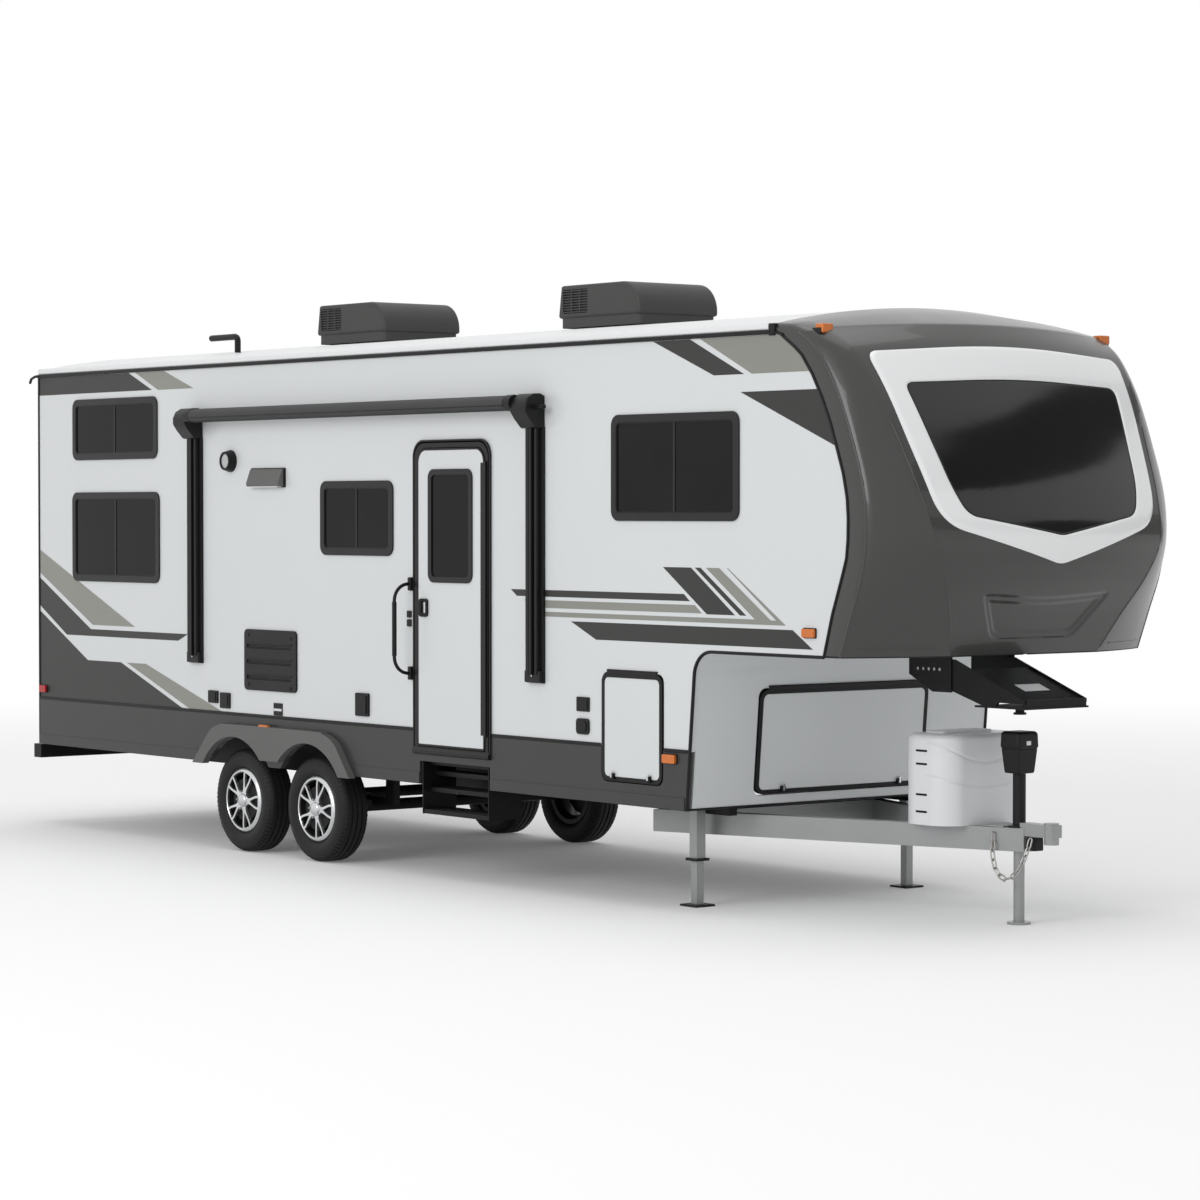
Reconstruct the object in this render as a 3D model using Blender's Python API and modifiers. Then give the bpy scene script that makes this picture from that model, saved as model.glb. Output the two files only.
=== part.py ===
# Travel trailer with a raised nose, a hitch pin below the nose and a drawbar in front.
# Metres. +X points towards the hitch, the entry door is on the -Y side, +Z is up.
# The shell is planned from x = 0 near the axles and y = 0 on the centreline, with the floor at z = 0.
# At the end everything moves together so that the box round the trailer is centred on the origin.
import math

import bmesh
import bpy
from mathutils import Matrix, Vector

# Clearances
TOUCH = 0.0003
RUNNING = 0.007

# Shell
BODY_WIDTH = 2.34
HALF_WIDTH = BODY_WIDTH / 2
WALL = 0.045
REAR_X = -3.26
SKIRT_BOTTOM_Z = 0.592
BELT_Z = 0.928
WALL_TOP_Z = 3.284
ROOF_EDGE_RISE = 0.05
ROOF_CROWN = 0.166
ROOF_EDGE_RADIUS = 0.045
ROOF_FRONT_X = 4.881
SKIRT_THICKNESS = 0.03
SKIRT_PROUD = 0.006
FLOOR_THICKNESS = 0.06
FLOOR_BOTTOM_Z = 0.770

# Lower front wall and the underside of the bedroom
FRONT_WALL_FOOT_X = 4.155
FRONT_WALL_LEAN = 0.067
NOSE_FLOOR_Z = 1.504
NOSE_FLOOR_THICKNESS = 0.05
NOSE_BEND_RADIUS = 0.15

# Moulded nose
CAP_THICKNESS = 0.028
CAP_STRIP = 0.5
CAP_BULGE = 0.02
SURROUND_PROUD = 0.014
GLASS_PROUD = 0.008
GLASS_GAP = 0.004
GLASS_SEAT = 0.035
# Each row is one station up the nose, from the lower edge to the roof.
# edge: where the side wall ends. shoulder: first ridge. crease: inner ridge. front: centreline.
# crease_in is the crease's distance from the trailer's side.
NOSE_STATIONS = (
    # edge_x, edge_z, shoulder_x, shoulder_z, crease_x, crease_in, crease_z, front_x, front_z
    (5.323, 1.504, 5.445, 1.504, 5.680, 0.590, 1.504, 5.690, 1.504),
    (5.392, 1.740, 5.530, 1.720, 5.775, 0.505, 1.710, 5.800, 1.710),
    (5.468, 1.940, 5.612, 1.930, 5.865, 0.390, 1.930, 5.928, 1.930),
    (5.514, 2.140, 5.650, 2.130, 5.885, 0.295, 2.130, 5.975, 2.120),
    (5.507, 2.370, 5.640, 2.380, 5.820, 0.250, 2.380, 5.915, 2.360),
    (5.428, 2.630, 5.555, 2.650, 5.700, 0.210, 2.660, 5.780, 2.680),
    (5.300, 2.920, 5.420, 2.950, 5.555, 0.160, 2.960, 5.645, 2.960),
    (5.141, 3.148, 5.255, 3.170, 5.400, 0.125, 3.180, 5.520, 3.190),
    (5.026, 3.229, 5.110, 3.268, 5.225, 0.092, 3.300, 5.380, 3.340),
)
CAP_FLAT_LENGTH = 0.05
# Where each column of the nose's skin meets the roof, counted in points of the roof's half section
ROOF_PLACES = (0.0, 0.8, 2.0, 3.2, 4.4, 5.6, 6.8, 8.0)

# Front window of the nose, seen from the front: half outlines from the top centre down
SURROUND_HALF = ((0.000, 3.223), (0.975, 3.162), (0.900, 2.600), (0.835, 2.230), (0.000, 2.005))
GLASS_HALF = ((0.000, 3.030), (0.819, 2.991), (0.720, 2.420), (0.650, 2.273), (0.000, 2.162))
SURROUND_CORNER = 0.07
# Shallow recess moulded into the nose below the surround
RECESS_HALF = ((0.000, 1.822), (0.503, 1.852), (0.318, 1.592), (0.000, 1.590))
RECESS_CORNER = 0.05
RECESS_DEPTH = 0.007
GLASS_CORNER = 0.05

# Wheels and axles
AXLE_X = {"rear": -0.55, "front": 0.33}
TYRE_RADIUS = 0.348
TYRE_WIDTH = 0.215
TYRE_INSET = 0.015
TYRE_OUTER_Y = HALF_WIDTH - TYRE_INSET
RIM_SEAT_RADIUS = 0.205
RIM_LIP_RADIUS = 0.217
RIM_THICKNESS = 0.014
BEAD_WIDTH = 0.150
RIM_LIP_WIDTH = 0.012
WHEEL_DISC_THICKNESS = 0.022
WHEEL_DISC_INSET = 0.004
HUB_RADIUS = 0.052
HUB_CAP_RADIUS = 0.033
HUB_CAP_PROUD = 0.012
AXLE_TUBE_RADIUS = 0.038
SPINDLE_RADIUS = 0.020
SPINDLE_RUNNING = 0.0006
SPINDLE_DEPTH = 0.022
DRUM_RADIUS = 0.150
DRUM_WIDTH = 0.055
SPOKES = 5
ROUND_STEPS = 16
AXLE_STEPS = 12

# Wheel arches in the skirt, and the outer edge of the moulding round them
ARCH_RADIUS = 0.460
ARCH_TOP_Z = 0.780
FLARE_PROUD = 0.050
FLARE_EDGE = 0.018
FLARE_FOOT_Z = 0.580
FLARE_OUTLINE = (
    # x, z from the rear foot over the wheels to the front foot
    (-1.062, 0.580), (-0.885, 0.766), (-0.815, 0.822), (-0.720, 0.853), (-0.600, 0.862), (0.400, 0.862),
    (0.530, 0.850), (0.630, 0.815), (0.690, 0.768), (0.840, 0.580),
)

# Chassis
RAIL_INSET = 0.400
RAIL_Y = HALF_WIDTH - RAIL_INSET
RAIL_WIDTH = 0.060
RAIL_DEPTH = 0.230
CROSS_DEPTH = 0.100
CROSS_WIDTH = 0.050
CROSS_MEMBERS = (-3.00, -1.60, 1.10, 2.60, 3.95)
BUMPER_SIZE = 0.100
BUMPER_GAP = 0.080
BUMPER_Z = 0.531
BUMPER_INSET = 0.050
HANGER_LENGTH = 0.09
HANGER_WIDTH = 0.050
SPRING_WIDTH = 0.045
SPRING_THICKNESS = 0.028
SPRING_SPAN = 0.70
SPRING_SEAT_HALF_LENGTH, SPRING_SEAT_HALF_WIDTH = 0.06, 0.035
SPRING_Y = RAIL_Y

# Drawbar
DRAWBAR_TIP_X = 5.720
DRAWBAR_BACK_X = 3.460
DRAWBAR_PAST_RAIL = 0.0023
DRAWBAR_SLOPE = (RAIL_Y + RAIL_WIDTH / 2 + DRAWBAR_PAST_RAIL) / (DRAWBAR_TIP_X - DRAWBAR_BACK_X)
DRAWBAR_WIDTH = 0.076
DRAWBAR_DEPTH = 0.130
DRAWBAR_CROSS_X = 3.720
COUPLER_LENGTH = 0.30
COUPLER_WIDTH = 0.076
COUPLER_HEIGHT = 0.070
COUPLER_RISE = 0.030
SOCKET_RADIUS, SOCKET_DEPTH, SOCKET_INSET = 0.042, 0.12, 0.092

# Jack on the drawbar
JACK_X = 5.645
JACK_LEG_RADIUS = 0.031
JACK_TUBE_RADIUS = 0.037
JACK_TUBE_TOP_Z = 0.841
JACK_BODY_HEIGHT = 0.135
JACK_CAP_HEIGHT = 0.100
JACK_CAP_SIZE = (0.156, 0.168)
# How much of the cap's size the body below it has at its top and at its foot
JACK_BODY_TOP, JACK_BODY_FOOT = 0.84, 0.70
JACK_FOOT_RADIUS = 0.066
JACK_FOOT_THICKNESS = 0.014

# Gas bottle cover
COVER_X = 5.205
COVER_LENGTH = 0.390
COVER_WIDTH = 0.650
COVER_HEIGHT = 0.520
COVER_CORNER = 0.14
COVER_EDGE = 0.035
COVER_GROOVE_RADIUS = 0.0045
COVER_GROOVES = (
    # height at the middle of the front, further rise at the ends
    (0.350, 0.113),
    (0.210, 0.063),
)
COVER_SLOT_HEIGHT, COVER_SLOT_DEPTH = 0.014, 0.008
COVER_END_SLOTS = (0.068, 0.164, 0.336, 0.410)
COVER_END_SLOT_X = (-0.070, 0.055)
COVER_FRONT_SLOT_HALF, COVER_FRONT_SLOT_Z = 0.17, 0.056
COVER_PAD_SIZE, COVER_PAD_RISE = (0.150, 0.400), 0.012

# Hitch pin box
PIN_BRACKET_BACK_X = 5.018
PIN_BRACKET_FRONT_X = 5.358
PIN_BRACKET_HALF = 0.250
PIN_BRACKET_OUTLINE = (
    # x, z of a cheek below the nose's floor, its rear lower corner cut away
    (5.018, 1.379), (5.209, 1.285), (5.358, 1.285),
)
PIN_PLATE_THICKNESS = 0.012
PIN_ARM_OUTLINE = (
    # x, z of one side plate of the arm
    (5.300, 1.470), (5.375, 1.470), (5.925, 1.262), (5.925, 1.243), (5.720, 1.243), (5.700, 1.216),
    (5.620, 1.216), (5.335, 1.300),
)
PIN_COVER_OUTLINE = (
    # x, z of the sloping plate between the side plates
    (5.480, 1.418), (5.915, 1.2545), (5.915, 1.2415), (5.480, 1.405),
)
PIN_FLANGE = (5.540, 5.936, 1.212, 1.222)
PIN_LIP = (5.898, 5.931, 1.217, 1.264)
KINGPIN_X = 5.648
KINGPIN_RADIUS = 0.0254
KINGPIN_FLANGE_RADIUS = 0.036
KINGPIN_LENGTH = 0.045

# Landing legs
LEG_X = 3.855
LEG_SIZE = 0.066
LEG_INNER_SIZE = 0.052
LEG_COLLAR_Z = 0.280
LEG_TOP_Z = 0.700
LEG_COLLAR_SIZE = 0.100
LEG_COLLAR_THICKNESS = 0.012
LEG_FOOT_SIZE = 0.145
LEG_FOOT_THICKNESS = 0.012

# Entry door
DOOR_LOW_X, DOOR_HIGH_X = 1.550, 2.251
DOOR_LOW_Z, DOOR_HIGH_Z = 0.833, 2.684
DOOR_FRAME_WIDTH = 0.056
DOOR_CORNER = 0.09
DOOR_THICKNESS = 0.040
DOOR_PROUD = 0.018
DOOR_FRAME_PROUD = 0.016
DOOR_WINDOW = (1.672, 2.134, 1.853, 2.557)
DOOR_WINDOW_CORNER = 0.045
HINGE_RADIUS = 0.006
HINGE_FLAP = 0.003
LATCH = (1.576, 1.667, 1.638, 1.751)
LATCH_PROUD = 0.030

# Steps below the door
STEP_LOW_X, STEP_HIGH_X = 1.575, 2.272
STEP_TOP_Z = 0.730
STEP_BOTTOM_Z = 0.404
STEP_PLATE_DEPTH = 0.255
STEP_PLATE_THICKNESS = 0.008
STEP_TREAD_THICKNESS = 0.025
# One row a tread: height of its top, how far its front edge stands back from the plates' front
STEP_TREADS = (
    # top_z, set_back
    (0.665, 0.100),
    (0.565, 0.055),
    (0.430, 0.006),
)

# Grab handle beside the door
HANDLE_X = 1.470
HANDLE_LOW_Z, HANDLE_HIGH_Z = 1.280, 1.840
HANDLE_REACH = 0.140
HANDLE_BEND = 0.105
HANDLE_RADIUS = 0.011
HANDLE_GRIP_RADIUS = 0.015
HANDLE_FOOT_WIDTH, HANDLE_FOOT_HEIGHT, HANDLE_FOOT_DEPTH = 0.034, 0.085, 0.030

# Awning
AWNING_TUBE_RADIUS = 0.048
AWNING_TUBE_Z = 2.943
AWNING_TUBE_OUT = 0.118
AWNING_BASE_DEPTH = 0.022
AWNING_ARM_DEPTH = 0.060
AWNING_HEAD_DEPTH = 0.150
AWNING_HEAD_HEIGHT = 0.215
AWNING_HEAD_REACH = 0.060
AWNING_CHANNEL_INSET = 0.22
# One row an arm: its place along the trailer, and the heights of its ends
AWNING_ARMS = (
    # name, low_x, high_x, low_z, high_z
    ("awning_arm_rear", -1.159, -0.996, 1.258, 2.800),
    ("awning_arm_front", 2.680, 2.843, 1.267, 2.800),
)

# Windows of the side walls, each with a frame that stands proud
WINDOW_FRAME = 0.030
WINDOW_PROUD = 0.012
WINDOW_CORNER = 0.055
WINDOW_GLASS_BACK = 0.004
WINDOW_BAR_HALF = 0.009
WINDOWS = (
    # name, low_x, high_x, low_z, high_z
    ("upper_rear", -2.755, -1.589, 2.662, 3.097),
    ("lower_rear", -2.761, -1.564, 1.794, 2.431),
    ("middle", 0.445, 1.266, 2.012, 2.491),
    ("front", 3.482, 4.623, 2.240, 2.855),
)

# Storage doors, hinged along their top edges
HATCH_THICKNESS = 0.030
HATCH_PROUD = 0.009
HATCH_CORNER = 0.050
HATCH_HINGE_RISE = 0.016
SIDE_HATCH = (3.394, 3.951, 0.725, 1.354)
FRONT_HATCH_HALF = 0.665
FRONT_HATCH_LOW_Z, FRONT_HATCH_HIGH_Z = 0.660, 1.270

# Roof units and pipe
AC_LENGTH = 0.82
AC_WIDTH = 0.64
AC_HEIGHT = 0.27
AC_SKIRT_HEIGHT = 0.062
AC_SKIRT_INSET = 0.016
AC_REAR_LEAN = 0.030
AC_NOSE_RADIUS = 0.175
AC_EDGE = 0.018
AC_LOUVRE_INSET, AC_LOUVRE_LENGTH, AC_LOUVRE_DEPTH = 0.055, 0.250, 0.012
AC_UNITS = (
    # name, rear_x
    ("ac_rear", -0.88),
    ("ac_front", 1.86),
)
VENT_X = -1.14
VENT_INSET = 0.37
VENT_RADIUS = 0.022
VENT_HEIGHT = 0.11
VENT_REACH = 0.34

# Fittings on the walls
GRILLE = (-0.467, 0.162, 1.100, 1.507)
GRILLE_PROUD = 0.014
GRILLE_CORNER = 0.035
GRILLE_SLOTS = 3
GRILLE_SLOT_HEIGHT = 0.045
GRILLE_SLOT_START, GRILLE_SLOT_PITCH = 0.075, 0.095
GRILLE_SLOT_INSET = 0.06
PORCH_LIGHT = (-0.382, 0.028, 2.453, 2.583)
PORCH_LIGHT_PROUD = 0.060
TAIL_LAMP_INSET = 0.24
TAIL_LAMP_Z = 1.02
TAIL_LAMP_SIZE = (0.030, 0.20, 0.13)

# Sizes that follow from those above
WALL_INNER_Y = HALF_WIDTH - WALL
INSIDE_Y = WALL_INNER_Y - TOUCH
FRAME_TOP_Z = FLOOR_BOTTOM_Z - TOUCH
RAIL_BOTTOM_Z = FRAME_TOP_Z - RAIL_DEPTH
DRAWBAR_TOP_Z = RAIL_BOTTOM_Z - TOUCH
DRAWBAR_BOTTOM_Z = DRAWBAR_TOP_Z - DRAWBAR_DEPTH
TYRE_Y = TYRE_OUTER_Y - TYRE_WIDTH / 2
LEG_Y = RAIL_Y + RAIL_WIDTH / 2 + TOUCH + LEG_SIZE / 2


# Scene

for old in list(bpy.data.objects):
    bpy.data.objects.remove(old, do_unlink=True)

parts = bpy.data.collections.new("travel_trailer")
cutters = bpy.data.collections.new("cutters")
bpy.context.scene.collection.children.link(parts)
bpy.context.scene.collection.children.link(cutters)

origin = bpy.data.objects.new("trailer_origin", None)
parts.objects.link(origin)


# Materials

def make_material(name, colour, roughness, metallic=0.0):
    material = bpy.data.materials.new(name)
    material.use_nodes = True
    shader = material.node_tree.nodes["Principled BSDF"]
    shader.inputs["Base Color"].default_value = (*colour, 1.0)
    shader.inputs["Roughness"].default_value = roughness
    shader.inputs["Metallic"].default_value = metallic
    return material


FINISHES = {
    # name: colour, roughness, metallic
    "wall_white": ((0.66, 0.68, 0.69), 0.35, 0.0),
    "roof_white": ((0.80, 0.82, 0.83), 0.5, 0.0),
    "skirt_grey": ((0.075, 0.075, 0.073), 0.4, 0.0),
    "flare_grey": ((0.11, 0.11, 0.11), 0.5, 0.0),
    "cap_grey": ((0.09, 0.089, 0.086), 0.3, 0.0),
    "gloss_white": ((0.85, 0.87, 0.88), 0.25, 0.0),
    "dark_glass": ((0.02, 0.02, 0.022), 0.06, 0.0),
    "trim_black": ((0.013, 0.013, 0.014), 0.4, 0.0),
    "frame_black": ((0.012, 0.012, 0.013), 0.55, 0.2),
    "tyre_rubber": ((0.018, 0.018, 0.019), 0.8, 0.0),
    "wheel_alloy": ((0.55, 0.56, 0.57), 0.25, 0.9),
    "steel_grey": ((0.32, 0.33, 0.34), 0.45, 0.7),
    "chain_steel": ((0.25, 0.24, 0.22), 0.45, 0.9),
    "cover_white": ((0.66, 0.68, 0.72), 0.4, 0.0),
    "ac_grey": ((0.07, 0.07, 0.073), 0.45, 0.0),
    "lamp_red": ((0.45, 0.01, 0.015), 0.2, 0.0),
}
materials = {name: make_material(name, *finish) for name, finish in FINISHES.items()}


# Outlines

def arc(centre, radius, start, end, steps):
    """Points on an arc, angles in degrees."""
    points = []
    for i in range(steps + 1):
        angle = math.radians(start + (end - start) * i / steps)
        points.append((centre[0] + radius * math.cos(angle), centre[1] + radius * math.sin(angle)))
    return points


def filleted(corners, radius, steps=4):
    """A closed outline with each corner rounded."""
    points = []
    count = len(corners)
    for i in range(count):
        here = Vector(corners[i])
        back = (Vector(corners[i - 1]) - here)
        ahead = (Vector(corners[(i + 1) % count]) - here)
        half_angle = back.angle(ahead) / 2
        reach = min(radius / math.tan(half_angle), back.length * 0.48, ahead.length * 0.48)
        if half_angle > math.radians(88):
            points.append(tuple(here))
            continue
        start = here + back.normalized() * reach
        end = here + ahead.normalized() * reach
        true_radius = reach * math.tan(half_angle)
        centre = here + (back.normalized() + ahead.normalized()).normalized() * (
            true_radius / math.sin(half_angle))
        first = start - centre
        last = end - centre
        turn = first.angle_signed(last)
        for step in range(steps + 1):
            angle = -turn * step / steps
            spun = Matrix.Rotation(angle, 2) @ first
            points.append(tuple(centre + spun))
    return points


def rectangle(low_u, high_u, low_v, high_v):
    return [(low_u, low_v), (high_u, low_v), (high_u, high_v), (low_u, high_v)]


def smooth_through(rows, steps):
    """Rows of numbers on a smooth curve through the given rows, with a count of steps for each gap."""
    result = []
    last = len(rows) - 1
    for i in range(last):
        before = rows[max(i - 1, 0)]
        here = rows[i]
        there = rows[i + 1]
        after = rows[min(i + 2, last)]
        for step in range(steps[i]):
            t = step / steps[i]
            result.append(tuple(
                0.5 * (2 * b + (c - a) * t + (2 * a - 5 * b + 4 * c - d) * t ** 2
                       + (3 * b - a - 3 * c + d) * t ** 3)
                for a, b, c, d in zip(before, here, there, after)))
    result.append(tuple(rows[last]))
    return result


# Shapes

def keep(shape, name, finish):
    """Name a finished shape, give it its finish and hang it on the trailer's origin."""
    shape.name = name
    shape.data.name = name
    shape.data.materials.clear()
    shape.data.materials.append(materials[finish])
    shape.parent = origin
    if name not in parts.objects:
        parts.objects.link(shape)
    return shape


def loose(mesh_or_curve, name="shape"):
    shape = bpy.data.objects.new(name, mesh_or_curve)
    parts.objects.link(shape)
    return shape


def as_mesh(curve_shape):
    """The mesh of a curve, with its caps welded on, in the curve's place."""
    bpy.context.view_layer.update()
    graph = bpy.context.evaluated_depsgraph_get()
    mesh = bpy.data.meshes.new_from_object(curve_shape.evaluated_get(graph))
    edit = bmesh.new()
    edit.from_mesh(mesh)
    edit.transform(curve_shape.matrix_world)
    bmesh.ops.remove_doubles(edit, verts=edit.verts, dist=0.00002)
    bmesh.ops.recalc_face_normals(edit, faces=edit.faces)
    edit.to_mesh(mesh)
    edit.free()
    bpy.data.objects.remove(curve_shape, do_unlink=True)
    return loose(mesh)


def block(low, high):
    """A box between two corners."""
    edit = bmesh.new()
    size = [high[i] - low[i] for i in range(3)]
    middle = [(high[i] + low[i]) / 2 for i in range(3)]
    bmesh.ops.create_cube(edit, size=1.0, matrix=Matrix.Translation(middle) @ Matrix.Diagonal((*size, 1.0)))
    mesh = bpy.data.meshes.new("block")
    edit.to_mesh(mesh)
    edit.free()
    return loose(mesh)


def tapered(middle, size, low, high, foot_share, top_share):
    """An upright box round a middle, with its foot and its top as shares of its size."""
    shape = block((middle[0] - size[0] / 2, middle[1] - size[1] / 2, low),
                  (middle[0] + size[0] / 2, middle[1] + size[1] / 2, high))
    for vert in shape.data.vertices:
        share = foot_share if vert.co.z < (low + high) / 2 else top_share
        vert.co.x = middle[0] + (vert.co.x - middle[0]) * share
        vert.co.y = middle[1] + (vert.co.y - middle[1]) * share
    return shape


PLANES = {
    # plane of the outline: turn that stands the flat curve in it
    "xy": (0.0, 0.0, 0.0),
    "xz": (math.pi / 2, 0.0, 0.0),
    "yz": (math.pi / 2, 0.0, math.pi / 2),
}


def prism(outlines, plane, low, high):
    """Flat outlines, the first with the others as holes, made thick from low to high."""
    curve = bpy.data.curves.new("outline", "CURVE")
    curve.dimensions = "2D"
    curve.fill_mode = "BOTH"
    curve.extrude = (high - low) / 2
    curve.resolution_u = 1
    for outline in outlines:
        spline = curve.splines.new("POLY")
        spline.points.add(len(outline) - 1)
        for point, (u, v) in zip(spline.points, outline):
            point.co = (u, v, 0.0, 1.0)
        spline.use_cyclic_u = True
    shape = loose(curve)
    shape.rotation_euler = PLANES[plane]
    middle = (high + low) / 2
    shape.location = {"xy": (0, 0, middle), "xz": (0, middle, 0), "yz": (middle, 0, 0)}[plane]
    return as_mesh(shape)


def tube(points, radius, bevel_resolution=2):
    """A round bar along points, with closed ends."""
    curve = bpy.data.curves.new("tube", "CURVE")
    curve.dimensions = "3D"
    curve.bevel_depth = radius
    curve.bevel_resolution = bevel_resolution
    curve.use_fill_caps = True
    curve.resolution_u = 1
    spline = curve.splines.new("POLY")
    spline.points.add(len(points) - 1)
    for point, co in zip(spline.points, points):
        point.co = (*co, 1.0)
    return as_mesh(loose(curve))


def turned(profile, centre, axis, steps=ROUND_STEPS, closed=False):
    """A turned shape. The profile is (radius, height) rows down its outer side."""
    edit = bmesh.new()
    verts = [edit.verts.new((radius, 0.0, height)) for radius, height in profile]
    for first, second in zip(verts, verts[1:]):
        edit.edges.new((first, second))
    if closed:
        edit.edges.new((verts[-1], verts[0]))
    mesh = bpy.data.meshes.new("turned")
    edit.to_mesh(mesh)
    edit.free()
    shape = loose(mesh)
    screw = shape.modifiers.new("turn", "SCREW")
    screw.steps = steps
    screw.render_steps = steps
    screw.use_merge_vertices = True
    screw.merge_threshold = 0.00005
    shape.location = centre
    shape.rotation_euler = {"z": (0, 0, 0), "y": (-math.pi / 2, 0, 0), "-y": (math.pi / 2, 0, 0)}[axis]
    return shape


def baked(shape):
    """A shape with its modifiers and its place applied to the mesh."""
    bpy.context.view_layer.update()
    graph = bpy.context.evaluated_depsgraph_get()
    mesh = bpy.data.meshes.new_from_object(shape.evaluated_get(graph))
    mesh.transform(shape.matrix_world)
    bpy.data.objects.remove(shape, do_unlink=True)
    return loose(mesh)


def combine(shape, tool, operation):
    """A live Boolean, with its tool put among the cutters."""
    boolean = shape.modifiers.new(operation.lower(), "BOOLEAN")
    boolean.operation = operation
    boolean.solver = "EXACT"
    boolean.object = tool
    parts.objects.unlink(tool)
    cutters.objects.link(tool)
    tool.parent = origin
    tool.hide_render = True
    tool.display_type = "WIRE"
    return shape


def cut(shape, tool):
    return combine(shape, tool, "DIFFERENCE")


def fuse(shape, tool):
    return combine(shape, tool, "UNION")


def soften(shape, width, segments=2, angle=50):
    """Rounded edges where faces meet sharply."""
    bevel = shape.modifiers.new("soft edges", "BEVEL")
    bevel.width = width
    bevel.segments = segments
    bevel.limit_method = "ANGLE"
    bevel.angle_limit = math.radians(angle)
    return shape


def smooth_sides(shape, angle=35):
    shape.data.shade_smooth()
    shape.data.set_sharp_from_angle(angle=math.radians(angle))
    return shape


def mirror_to_road(shape):
    """Turn a shape built for the door side over to the other side of the centreline."""
    edit = bmesh.new()
    edit.from_mesh(shape.data)
    edit.transform(Matrix.Diagonal((1.0, -1.0, 1.0, 1.0)))
    bmesh.ops.reverse_faces(edit, faces=edit.faces)
    edit.to_mesh(shape.data)
    edit.free()
    return shape


# Roof section shared by the roof and the top of the nose

def roof_height(y):
    """Height of the roof's outer skin at a distance from the centreline."""
    crown_width = HALF_WIDTH - ROOF_EDGE_RADIUS
    edge_z = WALL_TOP_Z + ROOF_EDGE_RISE
    share = min(abs(y) / crown_width, 1.0)
    return edge_z + (ROOF_CROWN - ROOF_EDGE_RISE) * (1 - share ** 2)


def roof_skin_height(y):
    """Height of the faceted outer skin at a distance from the centreline."""
    section = roof_half_section()
    for (outer_y, outer_z), (inner_y, inner_z) in zip(section, section[1:]):
        if inner_y <= abs(y) <= outer_y and outer_y > inner_y:
            share = (abs(y) - inner_y) / (outer_y - inner_y)
            return inner_z + (outer_z - inner_z) * share
    return section[-1][1]


def roof_half_section():
    """Rows of y and z from the top of the side wall to the centreline."""
    corner = (HALF_WIDTH - ROOF_EDGE_RADIUS, WALL_TOP_Z + ROOF_EDGE_RISE - ROOF_EDGE_RADIUS)
    edge = arc(corner, ROOF_EDGE_RADIUS, 0, 90, 3)
    crown = [(y, roof_height(y)) for y in (0.9, 0.6, 0.3, 0.0)]
    return [(HALF_WIDTH, WALL_TOP_Z + TOUCH)] + edge + crown


# Nose

# Rows of skin from each station to the next, more where the nose turns
NOSE_STEPS = (1, 1, 2, 2, 2, 1, 1, 2)
nose_rows = smooth_through(NOSE_STATIONS, NOSE_STEPS)


def nose_section(row):
    """Points across one station, from the side wall's edge to the centreline."""
    edge_x, edge_z, shoulder_x, shoulder_z, crease_x, crease_in, crease_z, front_x, front_z = row
    edge = Vector((edge_x, HALF_WIDTH, edge_z))
    strip = edge.lerp(Vector((shoulder_x, HALF_WIDTH, shoulder_z)), CAP_STRIP)
    shoulder = Vector((shoulder_x, HALF_WIDTH - 0.006, shoulder_z))
    crease = Vector((crease_x, HALF_WIDTH - crease_in, crease_z))
    section = [edge, strip, shoulder]
    outward = Vector((crease.y - shoulder.y, shoulder.x - crease.x, 0)).normalized() * -1
    section.append(shoulder.lerp(crease, 0.5) + outward * CAP_BULGE)
    section.append(crease)
    for share in (0.67, 0.33, 0.0):
        rise = 1 - share ** 2
        section.append(Vector((
            crease.x + (front_x - crease.x) * rise,
            crease.y * share,
            crease.z + (front_z - crease.z) * rise)))
    return section


def nose_surface():
    """The outer skin of half the nose, with its flat band that meets the roof."""
    sections = [nose_section(row) for row in nose_rows]
    roof_points = roof_half_section()
    for x in (ROOF_FRONT_X + CAP_FLAT_LENGTH, ROOF_FRONT_X):
        section = []
        for i in range(len(sections[0])):
            position = ROOF_PLACES[i]
            low = min(int(position), len(roof_points) - 2)
            share = position - low
            y = roof_points[low][0] * (1 - share) + roof_points[low + 1][0] * share
            z = roof_points[low][1] * (1 - share) + roof_points[low + 1][1] * share
            section.append(Vector((x, y, z)))
        sections.append(section)
    edit = bmesh.new()
    grid = [[edit.verts.new(point) for point in section] for section in sections]
    for lower, upper in zip(grid, grid[1:]):
        for i in range(len(lower) - 1):
            edit.faces.new((lower[i], lower[i + 1], upper[i + 1], upper[i]))
    bmesh.ops.triangulate(edit, faces=edit.faces)
    bmesh.ops.recalc_face_normals(edit, faces=edit.faces)
    if sum(face.normal.x for face in edit.faces) < 0:
        bmesh.ops.reverse_faces(edit, faces=edit.faces)
    mesh = bpy.data.meshes.new("nose")
    edit.to_mesh(mesh)
    edit.free()
    shape = loose(mesh)
    mirror = shape.modifiers.new("other half", "MIRROR")
    mirror.use_axis = (False, True, False)
    mirror.use_mirror_merge = True
    mirror.merge_threshold = 0.0001
    return shape


def nose_skin(inner, outer):
    """A shell over the nose between two distances from its outer skin."""
    shape = nose_surface()
    solid = shape.modifiers.new("wall", "SOLIDIFY")
    solid.thickness = outer - inner
    solid.offset = (outer + inner) / (outer - inner)
    solid.use_even_offset = False
    shape.location = (TOUCH, 0, TOUCH)
    return shape


def front_outline(half, radius, inset=0.0):
    """A closed outline seen from the front, from its half outline."""
    side = list(half[1:-1])
    whole = [half[0]] + side + [half[-1]] + [(-y, z) for y, z in reversed(side)]
    middle = Vector((0.0, sum(z for y, z in whole) / len(whole)))
    rounded = filleted(whole, radius, 4)
    if inset == 0.0:
        return rounded
    result = []
    for y, z in rounded:
        away = Vector((y, z)) - middle
        result.append(tuple(middle + away * (1 - inset / away.length)))
    return result


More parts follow.
